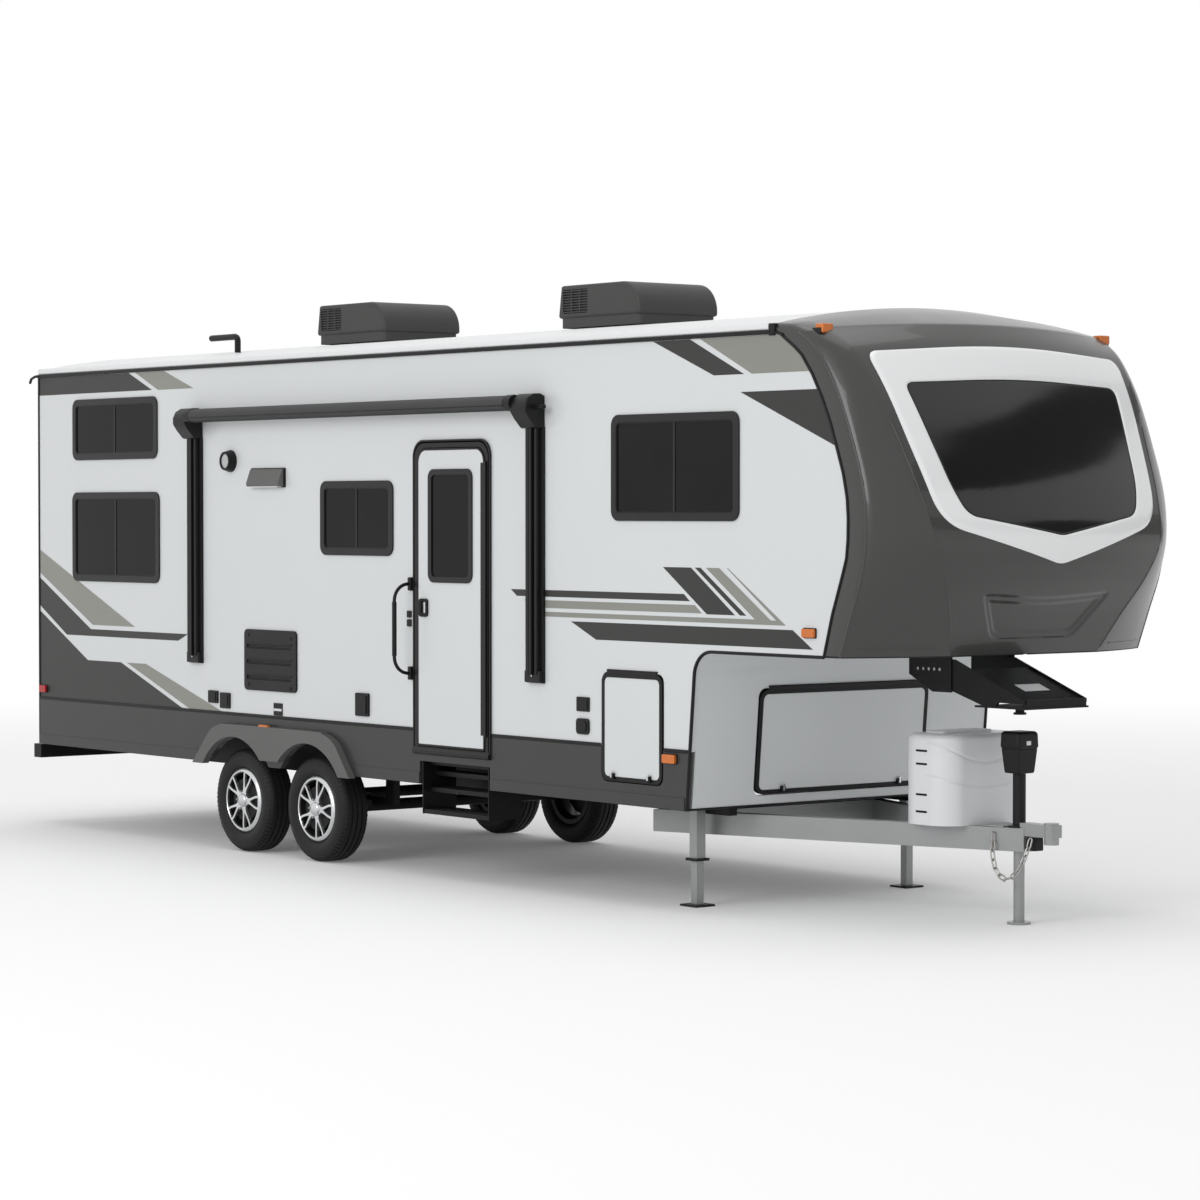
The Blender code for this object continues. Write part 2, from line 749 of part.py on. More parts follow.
NOSE_CUT_X = (5.0, 6.2)
surround_outline = front_outline(SURROUND_HALF, SURROUND_CORNER)
glass_outline = front_outline(GLASS_HALF, GLASS_CORNER)
seat_outline = front_outline(GLASS_HALF, GLASS_CORNER, GLASS_SEAT)
surround_hole = front_outline(GLASS_HALF, GLASS_CORNER, -GLASS_GAP)

front_cap = nose_skin(-CAP_THICKNESS, 0.0)
cut(front_cap, prism([seat_outline], "yz", *NOSE_CUT_X))
recess = nose_skin(-RECESS_DEPTH, CAP_THICKNESS)
combine(recess, prism([front_outline(RECESS_HALF, RECESS_CORNER)], "yz", *NOSE_CUT_X), "INTERSECT")
cut(front_cap, recess)
keep(front_cap, "front_cap", "cap_grey")

cap_surround = nose_skin(0.0, SURROUND_PROUD)
cap_surround.location.x += TOUCH * 2
combine(cap_surround, prism([surround_outline, surround_hole], "yz", *NOSE_CUT_X), "INTERSECT")
keep(cap_surround, "cap_surround", "gloss_white")

cap_window = nose_skin(0.0, GLASS_PROUD)
cap_window.location.x += TOUCH * 2
combine(cap_window, prism([glass_outline], "yz", *NOSE_CUT_X), "INTERSECT")
keep(cap_window, "cap_window", "dark_glass")


# Side walls and skirts

def grown(box, margin):
    low_u, high_u, low_v, high_v = box
    return (low_u - margin, high_u + margin, low_v - margin, high_v + margin)


def notch_over(box, base_z, radius):
    """Points up, over and down round a gap that is open at base_z, from low x to high x."""
    low_x, high_x, _, high_z = box
    left = arc((low_x + radius, high_z - radius), radius, 180, 90, 3)
    right = arc((high_x - radius, high_z - radius), radius, 90, 0, 3)
    return [(low_x, base_z)] + left + right + [(high_x, base_z)]


front_wall_top_x = FRONT_WALL_FOOT_X + FRONT_WALL_LEAN
front_wall_bend = arc(
    (front_wall_top_x + NOSE_BEND_RADIUS, NOSE_FLOOR_Z - NOSE_BEND_RADIUS), NOSE_BEND_RADIUS, 180, 90, 5)


def front_wall_x(z):
    """Outer face of the lower front wall at a height."""
    share = (z - SKIRT_BOTTOM_Z) / (NOSE_FLOOR_Z - NOSE_BEND_RADIUS - SKIRT_BOTTOM_Z)
    return FRONT_WALL_FOOT_X + FRONT_WALL_LEAN * share


door_frame_box = (DOOR_LOW_X - DOOR_FRAME_WIDTH, DOOR_HIGH_X + DOOR_FRAME_WIDTH,
                  DOOR_LOW_Z - DOOR_FRAME_WIDTH, DOOR_HIGH_Z + DOOR_FRAME_WIDTH)
door_cut = grown(door_frame_box, -0.018)
side_hatch_cut = grown(SIDE_HATCH, RUNNING)


def side_wall(with_door):
    base_z = BELT_Z + TOUCH
    outline = [(REAR_X, base_z)]
    if with_door:
        outline += notch_over(door_cut, base_z, DOOR_CORNER)
    outline += notch_over(side_hatch_cut, base_z, HATCH_CORNER)
    outline.append((front_wall_x(base_z), base_z))
    outline += front_wall_bend
    outline += [(row[0], row[1]) for row in nose_rows]
    outline += [(ROOF_FRONT_X + CAP_FLAT_LENGTH, WALL_TOP_Z), (REAR_X, WALL_TOP_Z)]
    holes = []
    for _, low_x, high_x, low_z, high_z in WINDOWS:
        hole = grown((low_x, high_x, low_z, high_z), -WINDOW_FRAME + 0.008)
        holes.append(filleted(rectangle(*hole), WINDOW_CORNER - 0.02, 2))
    return prism([outline] + holes, "xz", -HALF_WIDTH, -WALL_INNER_Y)


keep(side_wall(True), "side_wall_door", "wall_white")
keep(mirror_to_road(side_wall(False)), "side_wall_road", "wall_white")


def arch_notch(base_z):
    """The two wheel openings above a height, from rear to front."""
    centre_z = ARCH_TOP_Z - ARCH_RADIUS
    side = math.degrees(math.asin((base_z - centre_z) / ARCH_RADIUS))
    points = []
    for x in (AXLE_X["rear"], AXLE_X["front"]):
        points += arc((x, centre_z), ARCH_RADIUS, 180 - side, side, 7)
    return points


def skirt(with_door):
    low = SKIRT_BOTTOM_Z
    outline = [(REAR_X, low)]
    outline += arch_notch(low)
    if with_door:
        outline += [(STEP_LOW_X - 0.02, low), (STEP_LOW_X - 0.02, STEP_TOP_Z + 0.004),
                    (STEP_HIGH_X + 0.02, STEP_TOP_Z + 0.004), (STEP_HIGH_X + 0.02, low)]
    outline += [(front_wall_x(low), low), (front_wall_x(BELT_Z), BELT_Z)]
    low_x, high_x, low_z, _ = side_hatch_cut
    bottom = arc((high_x - HATCH_CORNER, low_z + HATCH_CORNER), HATCH_CORNER, 0, -90, 3)
    bottom += arc((low_x + HATCH_CORNER, low_z + HATCH_CORNER), HATCH_CORNER, -90, -180, 3)
    outline += [(high_x, BELT_Z)] + bottom + [(low_x, BELT_Z)]
    if with_door:
        low_x, high_x, low_z, _ = door_cut
        outline += [(high_x, BELT_Z), (high_x, low_z), (low_x, low_z), (low_x, BELT_Z)]
    outline.append((REAR_X, BELT_Z))
    return prism([outline], "xz", -HALF_WIDTH - SKIRT_PROUD, -HALF_WIDTH + SKIRT_THICKNESS)


keep(skirt(True), "skirt_door", "skirt_grey")
keep(mirror_to_road(skirt(False)), "skirt_road", "skirt_grey")


def fender():
    """The moulding round the twin arch."""
    outline = list(FLARE_OUTLINE) + list(reversed(arch_notch(FLARE_FOOT_Z)))
    out = HALF_WIDTH + SKIRT_PROUD + TOUCH
    return prism([outline], "xz", -out - FLARE_PROUD, -out)


fender_door = soften(fender(), FLARE_EDGE, 1)
keep(fender_door, "fender_door", "flare_grey")
fender_road = soften(mirror_to_road(fender()), FLARE_EDGE, 1)
keep(fender_road, "fender_road", "flare_grey")


# Rear wall, floor, front wall and roof

floor = block((REAR_X, -INSIDE_Y, FLOOR_BOTTOM_Z),
              (front_wall_x(FLOOR_BOTTOM_Z) - WALL - TOUCH * 4, INSIDE_Y, FLOOR_BOTTOM_Z + FLOOR_THICKNESS))
rear_wall_foot = FLOOR_BOTTOM_Z + FLOOR_THICKNESS + TOUCH
rear_wall = block((REAR_X, -INSIDE_Y, rear_wall_foot), (REAR_X + WALL, INSIDE_Y, WALL_TOP_Z))
keep(rear_wall, "rear_wall", "wall_white")
keep(floor, "floor", "trim_black")

front_wall_outer = [(front_wall_x(SKIRT_BOTTOM_Z), SKIRT_BOTTOM_Z)] + front_wall_bend
front_wall_outer.append((front_wall_top_x + NOSE_BEND_RADIUS + 0.1, NOSE_FLOOR_Z))
front_wall_inner = [(front_wall_top_x + NOSE_BEND_RADIUS + 0.1, NOSE_FLOOR_Z + WALL)]
front_wall_inner += arc((front_wall_top_x + NOSE_BEND_RADIUS, NOSE_FLOOR_Z - NOSE_BEND_RADIUS),
                        NOSE_BEND_RADIUS + WALL, 90, 180, 5)
front_wall_inner.append((front_wall_x(SKIRT_BOTTOM_Z) - WALL, SKIRT_BOTTOM_Z))
front_wall = prism([front_wall_outer + front_wall_inner], "xz", -INSIDE_Y, INSIDE_Y)

first_station = NOSE_STATIONS[0]
nose_inset = CAP_THICKNESS + 0.012
nose_floor_half = [
    (first_station[2] - nose_inset, INSIDE_Y),
    (first_station[4] - nose_inset * 1.3, HALF_WIDTH - first_station[5]),
]
nose_floor_outline = [(front_wall_top_x + NOSE_BEND_RADIUS + 0.05, INSIDE_Y)] + nose_floor_half
nose_floor_outline += [(x, -y) for x, y in reversed(nose_floor_outline)]
nose_floor = prism([nose_floor_outline], "xy", NOSE_FLOOR_Z, NOSE_FLOOR_Z + NOSE_FLOOR_THICKNESS)
hatch_hole = prism([filleted(rectangle(
    -FRONT_HATCH_HALF - RUNNING, FRONT_HATCH_HALF + RUNNING,
    FRONT_HATCH_LOW_Z - RUNNING, FRONT_HATCH_HIGH_Z + RUNNING), HATCH_CORNER)], "yz",
    FRONT_WALL_FOOT_X - 0.2, FRONT_WALL_FOOT_X + 0.2)
fuse(front_wall, nose_floor)
cut(front_wall, hatch_hole)
keep(front_wall, "front_wall", "wall_white")

roof_outline = roof_half_section()
roof_outline = roof_outline + [(-y, z) for y, z in reversed(roof_outline[:-1])]
roof = prism([roof_outline], "yz", REAR_X, ROOF_FRONT_X - TOUCH)
keep(roof, "roof", "roof_white")


# Side windows

def window(box):
    low_x, high_x, low_z, high_z = box
    frame_out = -HALF_WIDTH - WINDOW_PROUD
    outline = filleted(rectangle(*box), WINDOW_CORNER, 2)
    inner = filleted(rectangle(*grown(box, -WINDOW_FRAME)), WINDOW_CORNER - 0.02, 2)
    shape = prism([outline, inner], "xz", frame_out, -HALF_WIDTH - TOUCH)
    glass_box = grown(box, -WINDOW_FRAME + 0.004)
    glass_front = frame_out + WINDOW_GLASS_BACK
    low_x, high_x, low_z, high_z = glass_box
    glass = block((low_x, glass_front, low_z), (high_x, -HALF_WIDTH - TOUCH, high_z))
    fuse(shape, glass)
    middle = (low_x + high_x) / 2
    bar = block((middle - WINDOW_BAR_HALF, frame_out + 0.002, low_z - 0.006),
                (middle + WINDOW_BAR_HALF, glass_front + 0.004, high_z + 0.006))
    fuse(shape, bar)
    return shape


for name, *box in WINDOWS:
    for side in ("door", "road"):
        shape = window(box)
        if side == "road":
            shape = mirror_to_road(baked(shape))
        keep(shape, f"window_{name}_{side}", "dark_glass")


# Entry door

def door_ring(outer, inner, outer_radius, inner_radius, low, high):
    return prism([filleted(rectangle(*outer), outer_radius, 3),
                  filleted(rectangle(*inner), inner_radius, 3)], "xz", low, high)


door_box = (DOOR_LOW_X, DOOR_HIGH_X, DOOR_LOW_Z, DOOR_HIGH_Z)
door_frame = door_ring(door_frame_box, grown(door_box, RUNNING), DOOR_CORNER + 0.01, DOOR_CORNER,
                       -HALF_WIDTH - DOOR_FRAME_PROUD, -HALF_WIDTH - SKIRT_PROUD - TOUCH)
door_sleeve = door_ring(grown(door_cut, -TOUCH), grown(door_box, RUNNING), DOOR_CORNER - TOUCH, DOOR_CORNER,
                        -HALF_WIDTH - SKIRT_PROUD - 0.004, -WALL_INNER_Y)
fuse(door_frame, door_sleeve)
keep(door_frame, "door_frame", "trim_black")

door_out_y = -HALF_WIDTH - DOOR_PROUD
door_hinge_x = DOOR_HIGH_X + RUNNING + HINGE_RADIUS + HINGE_FLAP
door_hinge_y = -HALF_WIDTH - DOOR_FRAME_PROUD - TOUCH - HINGE_RADIUS
entry_door = prism([filleted(rectangle(*door_box), DOOR_CORNER - RUNNING, 3),
                    filleted(rectangle(*grown(DOOR_WINDOW, -0.02)), DOOR_WINDOW_CORNER, 3)],
                   "xz", door_out_y, door_out_y + DOOR_THICKNESS)
hinge_low_z, hinge_high_z = DOOR_LOW_Z + DOOR_CORNER, DOOR_HIGH_Z - DOOR_CORNER
fuse(entry_door, block((DOOR_HIGH_X - 0.03, door_hinge_y - HINGE_FLAP / 2, hinge_low_z),
                       (door_hinge_x, door_out_y + 0.001, hinge_high_z)))
fuse(entry_door, turned([(0.0, hinge_high_z + 0.01), (HINGE_RADIUS, hinge_high_z + 0.01),
                         (HINGE_RADIUS, hinge_low_z - 0.01), (0.0, hinge_low_z - 0.01)],
                        (door_hinge_x, door_hinge_y, 0), "z", 10))
keep(entry_door, "entry_door", "wall_white")

door_window = door_ring(DOOR_WINDOW, grown(DOOR_WINDOW, -0.024), DOOR_WINDOW_CORNER + 0.01,
                        DOOR_WINDOW_CORNER - 0.01, door_out_y - 0.010, door_out_y - TOUCH)
low_x, high_x, low_z, high_z = grown(DOOR_WINDOW, -0.0215)
door_glass = block((low_x, door_out_y - 0.0065, low_z), (high_x, door_out_y - TOUCH, high_z))
fuse(door_window, door_glass)
keep(door_window, "door_window", "dark_glass")

low_x, high_x, low_z, high_z = LATCH
door_latch = block((low_x, door_out_y - 0.012, low_z), (high_x, door_out_y - TOUCH, high_z))
latch_grip = block((low_x + 0.015, door_out_y - LATCH_PROUD, low_z + 0.02),
                   (low_x + 0.045, door_out_y - 0.010, high_z - 0.015))
fuse(door_latch, latch_grip)
soften(door_latch, 0.003, 1)
keep(door_latch, "door_latch", "trim_black")

# The handle bows out from two feet on the wall, with a thicker grip along its straight part.
handle_y = -HALF_WIDTH - HANDLE_REACH
foot_y = -HALF_WIDTH - TOUCH
upper_bend = arc((handle_y + HANDLE_BEND, HANDLE_HIGH_Z - HANDLE_BEND), HANDLE_BEND, 90, 180, 4)
lower_bend = arc((handle_y + HANDLE_BEND, HANDLE_LOW_Z + HANDLE_BEND), HANDLE_BEND, 180, 270, 4)
handle_route = [(HANDLE_X, foot_y, HANDLE_HIGH_Z)]
handle_route += [(HANDLE_X, y, z) for y, z in upper_bend + lower_bend]
handle_route.append((HANDLE_X, foot_y, HANDLE_LOW_Z))
grab_handle = tube(handle_route, HANDLE_RADIUS)
fuse(grab_handle, tube([(HANDLE_X, handle_y, HANDLE_HIGH_Z - HANDLE_BEND),
                        (HANDLE_X, handle_y, HANDLE_LOW_Z + HANDLE_BEND)], HANDLE_GRIP_RADIUS))
for foot_z in (HANDLE_LOW_Z, HANDLE_HIGH_Z):
    foot = block((HANDLE_X - HANDLE_FOOT_WIDTH / 2, foot_y - HANDLE_FOOT_DEPTH, foot_z - HANDLE_FOOT_HEIGHT / 2),
                 (HANDLE_X + HANDLE_FOOT_WIDTH / 2, foot_y, foot_z + HANDLE_FOOT_HEIGHT / 2))
    fuse(grab_handle, foot)
keep(grab_handle, "grab_handle", "trim_black")


# Steps

step_front_y = -HALF_WIDTH
step_back_y = step_front_y + STEP_PLATE_DEPTH
steps = block((STEP_LOW_X, step_front_y + 0.05, STEP_TOP_Z - 0.02),
              (STEP_HIGH_X, -RAIL_Y - RAIL_WIDTH / 2 - TOUCH, STEP_TOP_Z))
for low_x in (STEP_LOW_X, STEP_HIGH_X - STEP_PLATE_THICKNESS):
    plate = block((low_x, step_front_y, STEP_BOTTOM_Z), (low_x + STEP_PLATE_THICKNESS, step_back_y, STEP_TOP_Z))
    fuse(steps, plate)
for top_z, set_back in STEP_TREADS:
    tread = block((STEP_LOW_X + 0.002, step_front_y + set_back, top_z - STEP_TREAD_THICKNESS),
                  (STEP_HIGH_X - 0.002, step_back_y - 0.01, top_z))
    fuse(steps, tread)
keep(steps, "steps", "frame_black")


# Storage doors

def side_hatch():
    low_x, high_x, low_z, high_z = SIDE_HATCH
    hatch_out_y = -HALF_WIDTH - HATCH_PROUD
    hinge_y = -HALF_WIDTH - TOUCH - HINGE_RADIUS
    hinge_z = high_z + HATCH_HINGE_RISE
    leaf = prism([filleted(rectangle(*SIDE_HATCH), HATCH_CORNER, 3)], "xz",
                 hatch_out_y, hatch_out_y + HATCH_THICKNESS)
    fuse(leaf, block((low_x + HATCH_CORNER, hinge_y - HINGE_FLAP / 2, high_z - 0.02),
                     (high_x - HATCH_CORNER, hinge_y + HINGE_FLAP / 2, hinge_z)))
    fuse(leaf, tube([(low_x + HATCH_CORNER - 0.01, hinge_y, hinge_z),
                     (high_x - HATCH_CORNER + 0.01, hinge_y, hinge_z)], HINGE_RADIUS, 1))
    return baked(leaf)


keep(side_hatch(), "storage_door_side", "wall_white")
keep(mirror_to_road(side_hatch()), "storage_door_road", "wall_white")

front_hatch = prism([filleted(rectangle(-FRONT_HATCH_HALF, FRONT_HATCH_HALF, FRONT_HATCH_LOW_Z,
                                        FRONT_HATCH_HIGH_Z), HATCH_CORNER, 4)], "yz",
                    -HATCH_THICKNESS / 2, HATCH_THICKNESS / 2)
wall_slope = FRONT_WALL_LEAN / (NOSE_FLOOR_Z - NOSE_BEND_RADIUS - SKIRT_BOTTOM_Z)
front_hatch.data.transform(Matrix((
    (1, 0, wall_slope, front_wall_x(0.0) + HATCH_PROUD - HATCH_THICKNESS / 2),
    (0, 1, 0, 0), (0, 0, 1, 0), (0, 0, 0, 1))))
front_hinge_z = FRONT_HATCH_HIGH_Z + HATCH_HINGE_RISE
front_hinge_x = front_wall_x(front_hinge_z) + TOUCH + HINGE_RADIUS
hinge_reach = FRONT_HATCH_HALF - HATCH_CORNER
fuse(front_hatch, block((front_hinge_x - HINGE_FLAP / 2, -hinge_reach, FRONT_HATCH_HIGH_Z - 0.02),
                        (front_hinge_x + HINGE_FLAP / 2, hinge_reach, front_hinge_z)))
fuse(front_hatch, tube([(front_hinge_x, -hinge_reach - 0.01, front_hinge_z),
                        (front_hinge_x, hinge_reach + 0.01, front_hinge_z)], HINGE_RADIUS, 1))
keep(front_hatch, "storage_door_front", "wall_white")


# Chassis, bumper and spring hangers

chassis = None
for side in (-1, 1):
    inner = side * (RAIL_Y - RAIL_WIDTH / 2)
    outer = side * (RAIL_Y + RAIL_WIDTH / 2)
    rail = block((REAR_X - BUMPER_GAP, min(inner, outer), RAIL_BOTTOM_Z),
                 (front_wall_x(SKIRT_BOTTOM_Z) - WALL - 0.01, max(inner, outer), FRAME_TOP_Z))
    if chassis is None:
        chassis = rail
    else:
        fuse(chassis, rail)

for x in CROSS_MEMBERS:
    member = block((x - CROSS_WIDTH / 2, -RAIL_Y, FRAME_TOP_Z - CROSS_DEPTH - 0.01),
                   (x + CROSS_WIDTH / 2, RAIL_Y, FRAME_TOP_Z - 0.01))
    fuse(chassis, member)
bumper_half = HALF_WIDTH - BUMPER_INSET
bumper = block((REAR_X - BUMPER_GAP - BUMPER_SIZE, -bumper_half, BUMPER_Z - BUMPER_SIZE / 2),
               (REAR_X - BUMPER_GAP + 0.002, bumper_half, BUMPER_Z + BUMPER_SIZE / 2))
fuse(chassis, bumper)
equaliser_x = (AXLE_X["rear"] + AXLE_X["front"]) / 2
hanger_xs = (AXLE_X["rear"] - SPRING_SPAN / 2, equaliser_x, AXLE_X["front"] + SPRING_SPAN / 2)
SPRING_Z = TYRE_RADIUS + AXLE_TUBE_RADIUS + SPRING_THICKNESS / 2 + 0.010
for side in (-1, 1):
    for x in hanger_xs:
        hanger = block((x - HANGER_LENGTH / 2, side * SPRING_Y - HANGER_WIDTH / 2, SPRING_Z - 0.03),
                       (x + HANGER_LENGTH / 2, side * SPRING_Y + HANGER_WIDTH / 2, RAIL_BOTTOM_Z + 0.01))
        fuse(chassis, hanger)
keep(chassis, "chassis", "frame_black")


# Axles with their springs

wheel_disc_out = TYRE_OUTER_Y - WHEEL_DISC_INSET
wheel_disc_in = wheel_disc_out - WHEEL_DISC_THICKNESS


def axle(x, which):
    drum_out = wheel_disc_in - RUNNING
    drum_in = drum_out - DRUM_WIDTH
    spindle_out = wheel_disc_in + SPINDLE_DEPTH - RUNNING
    half_profile = [
        (0.0, spindle_out), (SPINDLE_RADIUS, spindle_out), (SPINDLE_RADIUS, drum_out),
        (DRUM_RADIUS, drum_out), (DRUM_RADIUS, drum_in), (AXLE_TUBE_RADIUS, drum_in)]
    profile = half_profile + [(radius, -height) for radius, height in reversed(half_profile)]
    shape = baked(turned(profile, (x, 0.0, TYRE_RADIUS), "y", AXLE_STEPS))
    for side in (-1, 1):
        ends = {"rear": (hanger_xs[0], hanger_xs[1]), "front": (hanger_xs[1], hanger_xs[2])}[which]
        first = ends[0] + HANGER_LENGTH / 2 + TOUCH
        last = ends[1] - HANGER_LENGTH / 2 - TOUCH
        leaf = block((first, side * SPRING_Y - SPRING_WIDTH / 2, SPRING_Z - SPRING_THICKNESS / 2),
                     (last, side * SPRING_Y + SPRING_WIDTH / 2, SPRING_Z + SPRING_THICKNESS / 2))
        seat = block((x - SPRING_SEAT_HALF_LENGTH, side * SPRING_Y - SPRING_SEAT_HALF_WIDTH, TYRE_RADIUS - 0.006),
                     (x + SPRING_SEAT_HALF_LENGTH, side * SPRING_Y + SPRING_SEAT_HALF_WIDTH,
                      SPRING_Z + SPRING_THICKNESS / 2 + 0.015))
        fuse(shape, leaf)
        fuse(shape, seat)
    return shape


for which, x in AXLE_X.items():
    keep(axle(x, which), f"axle_{which}", "frame_black")


# Wheels

def tyre_profile():
    """Closed section of the tyre, down its outer side: tread, sidewall and bead."""
    half = TYRE_WIDTH / 2
    bead = BEAD_WIDTH / 2
    height = TYRE_RADIUS - RIM_SEAT_RADIUS
    side = [
        # share of the height from the rim, share of the half width
        (1.00, 0.45), (0.92, 0.86), (0.62, 1.00), (0.18, 0.82)]
    outer = [(RIM_SEAT_RADIUS + height * r, half * w) for r, w in side]
    foot = RIM_SEAT_RADIUS + TOUCH
    outer += [(RIM_LIP_RADIUS + 0.001, bead), (foot, bead)]
    lower = [(r, -w) for r, w in outer]
    return list(reversed(outer)) + lower


def wheel_profile():
    """Section of rim, disc and hub from the cap's middle round to the bore for the spindle."""
    bead = BEAD_WIDTH / 2 + TOUCH
    lip = bead + RIM_LIP_WIDTH
    inner = RIM_SEAT_RADIUS - RIM_THICKNESS
    disc_out = wheel_disc_out - TYRE_Y
    disc_in = wheel_disc_in - TYRE_Y
    bore = SPINDLE_RADIUS + SPINDLE_RUNNING
    return [(0.0, disc_out + HUB_CAP_PROUD), (HUB_CAP_RADIUS, disc_out + HUB_CAP_PROUD),
            (HUB_RADIUS, disc_out), (inner, disc_out), (inner + 0.004, lip),
            (RIM_LIP_RADIUS, lip), (RIM_LIP_RADIUS, bead), (RIM_SEAT_RADIUS, bead),
            (RIM_SEAT_RADIUS, -bead), (RIM_LIP_RADIUS, -bead), (RIM_LIP_RADIUS, -lip), (inner, -lip),
            (inner, disc_in), (bore, disc_in), (bore, disc_in + SPINDLE_DEPTH), (0.0, disc_in + SPINDLE_DEPTH)]


def spoke_windows():
    """The gaps in the wheel's disc: a wide one between spokes and a slot in each spoke."""
    gaps = []
    outer = RIM_SEAT_RADIUS - RIM_THICKNESS - 0.012
    for i in range(SPOKES):
        turn = 360 / SPOKES * i + 90
        wide = [(0.075, turn - 20), (outer, turn - 19), (outer, turn - 6), (outer, turn + 6), (outer, turn + 19),
                (0.075, turn + 20)]
        slot = [(0.085, turn + 36 - 5), (outer, turn + 36 - 7), (outer, turn + 36 + 7), (0.085, turn + 36 + 5)]
        for polar in (wide, slot):
            gaps.append([(r * math.cos(math.radians(a)), r * math.sin(math.radians(a))) for r, a in polar])
    return gaps


def wheel(x, side):
    facing = "y" if side > 0 else "-y"
    shape = baked(turned(wheel_profile(), (x, side * TYRE_Y, TYRE_RADIUS), facing))
    gap_low, gap_high = wheel_disc_in - 0.01, wheel_disc_out + 0.01
    tools = [prism([gap], "xz", gap_low, gap_high) for gap in spoke_windows()]
    for tool in tools:
        if side < 0:
            tool.data.transform(Matrix.Rotation(math.pi, 4, "Z"))
        tool.data.transform(Matrix.Translation((x, 0, TYRE_RADIUS)))
    for tool in tools:
        cut(shape, tool)
    return shape


for which, x in AXLE_X.items():
    for side, where in ((-1, "door"), (1, "road")):
        hub_point = (x, side * TYRE_Y, TYRE_RADIUS)
        tyre = turned(tyre_profile(), hub_point, "y", closed=True)
        keep(tyre, f"tyre_{which}_{where}", "tyre_rubber")
        keep(wheel(x, side), f"wheel_{which}_{where}", "wheel_alloy")


# Landing legs

def landing_leg(side):
    y = side * LEG_Y
    half = LEG_SIZE / 2
    inner = LEG_INNER_SIZE / 2
    collar = LEG_COLLAR_SIZE / 2
    foot = LEG_FOOT_SIZE / 2
    shape = block((LEG_X - half, y - half, LEG_COLLAR_Z), (LEG_X + half, y + half, LEG_TOP_Z))
    fuse(shape, block((LEG_X - inner, y - inner, 0.004), (LEG_X + inner, y + inner, LEG_COLLAR_Z + 0.02)))
    fuse(shape, block((LEG_X - collar, y - collar, LEG_COLLAR_Z - LEG_COLLAR_THICKNESS),
                      (LEG_X + collar, y + collar, LEG_COLLAR_Z)))
    fuse(shape, block((LEG_X - foot, y - foot, 0.0), (LEG_X + foot, y + foot, LEG_FOOT_THICKNESS)))
    return shape


keep(landing_leg(-1), "landing_leg_door", "steel_grey")
keep(landing_leg(1), "landing_leg_road", "steel_grey")


# Drawbar with its coupler

def drawbar_y(x):
    """Half the spread of the two beams' centrelines."""
    return (DRAWBAR_TIP_X - x) * DRAWBAR_SLOPE


beam_half = DRAWBAR_WIDTH / 2 / math.cos(math.atan(DRAWBAR_SLOPE))
back_y = drawbar_y(DRAWBAR_BACK_X)
cross_back = DRAWBAR_CROSS_X - DRAWBAR_WIDTH / 2
cross_front = DRAWBAR_CROSS_X + DRAWBAR_WIDTH / 2
inner_tip_x = DRAWBAR_TIP_X - beam_half / DRAWBAR_SLOPE
drawbar_half = [(DRAWBAR_BACK_X, back_y - beam_half), (DRAWBAR_BACK_X, back_y + beam_half),
                (DRAWBAR_TIP_X, beam_half)]
drawbar_outline = [(cross_back, drawbar_y(cross_back) - beam_half)] + drawbar_half
drawbar_outline += [(x, -y) for x, y in reversed(drawbar_outline)]
triangle = [(cross_front, drawbar_y(cross_front) - beam_half), (inner_tip_x - 0.02, 0.007),
            (inner_tip_x - 0.02, -0.007), (cross_front, beam_half - drawbar_y(cross_front))]
jack_hole = arc((JACK_X, 0.0), JACK_LEG_RADIUS + TOUCH, 0, 360 - 360 / 16, 15)
a_frame = prism([drawbar_outline, triangle, jack_hole], "xy", DRAWBAR_BOTTOM_Z, DRAWBAR_TOP_Z)
coupler_back_x = JACK_X + JACK_TUBE_RADIUS + 0.004
coupler = block((coupler_back_x, -COUPLER_WIDTH / 2, DRAWBAR_TOP_Z - COUPLER_HEIGHT + COUPLER_RISE),
                (coupler_back_x + COUPLER_LENGTH - 0.05, COUPLER_WIDTH / 2, DRAWBAR_TOP_Z + COUPLER_RISE))
coupler_socket = turned([(0.0, 0.0), (SOCKET_RADIUS, 0.0), (SOCKET_RADIUS, -SOCKET_DEPTH), (0.0, -SOCKET_DEPTH)],
                        (coupler_back_x + COUPLER_LENGTH - SOCKET_INSET, 0, DRAWBAR_TOP_Z + COUPLER_RISE + 0.01),
                        "z", 16)
fuse(a_frame, coupler)
fuse(a_frame, baked(coupler_socket))
keep(a_frame, "a_frame", "steel_grey")


# Jack

jack_leg = turned([(0.0, DRAWBAR_TOP_Z), (JACK_LEG_RADIUS, DRAWBAR_TOP_Z),
                   (JACK_LEG_RADIUS, JACK_FOOT_THICKNESS), (JACK_FOOT_RADIUS, JACK_FOOT_THICKNESS),
                   (JACK_FOOT_RADIUS, 0.0), (0.0, 0.0)], (JACK_X, 0, 0), "z", 16)
keep(jack_leg, "jack_leg", "steel_grey")

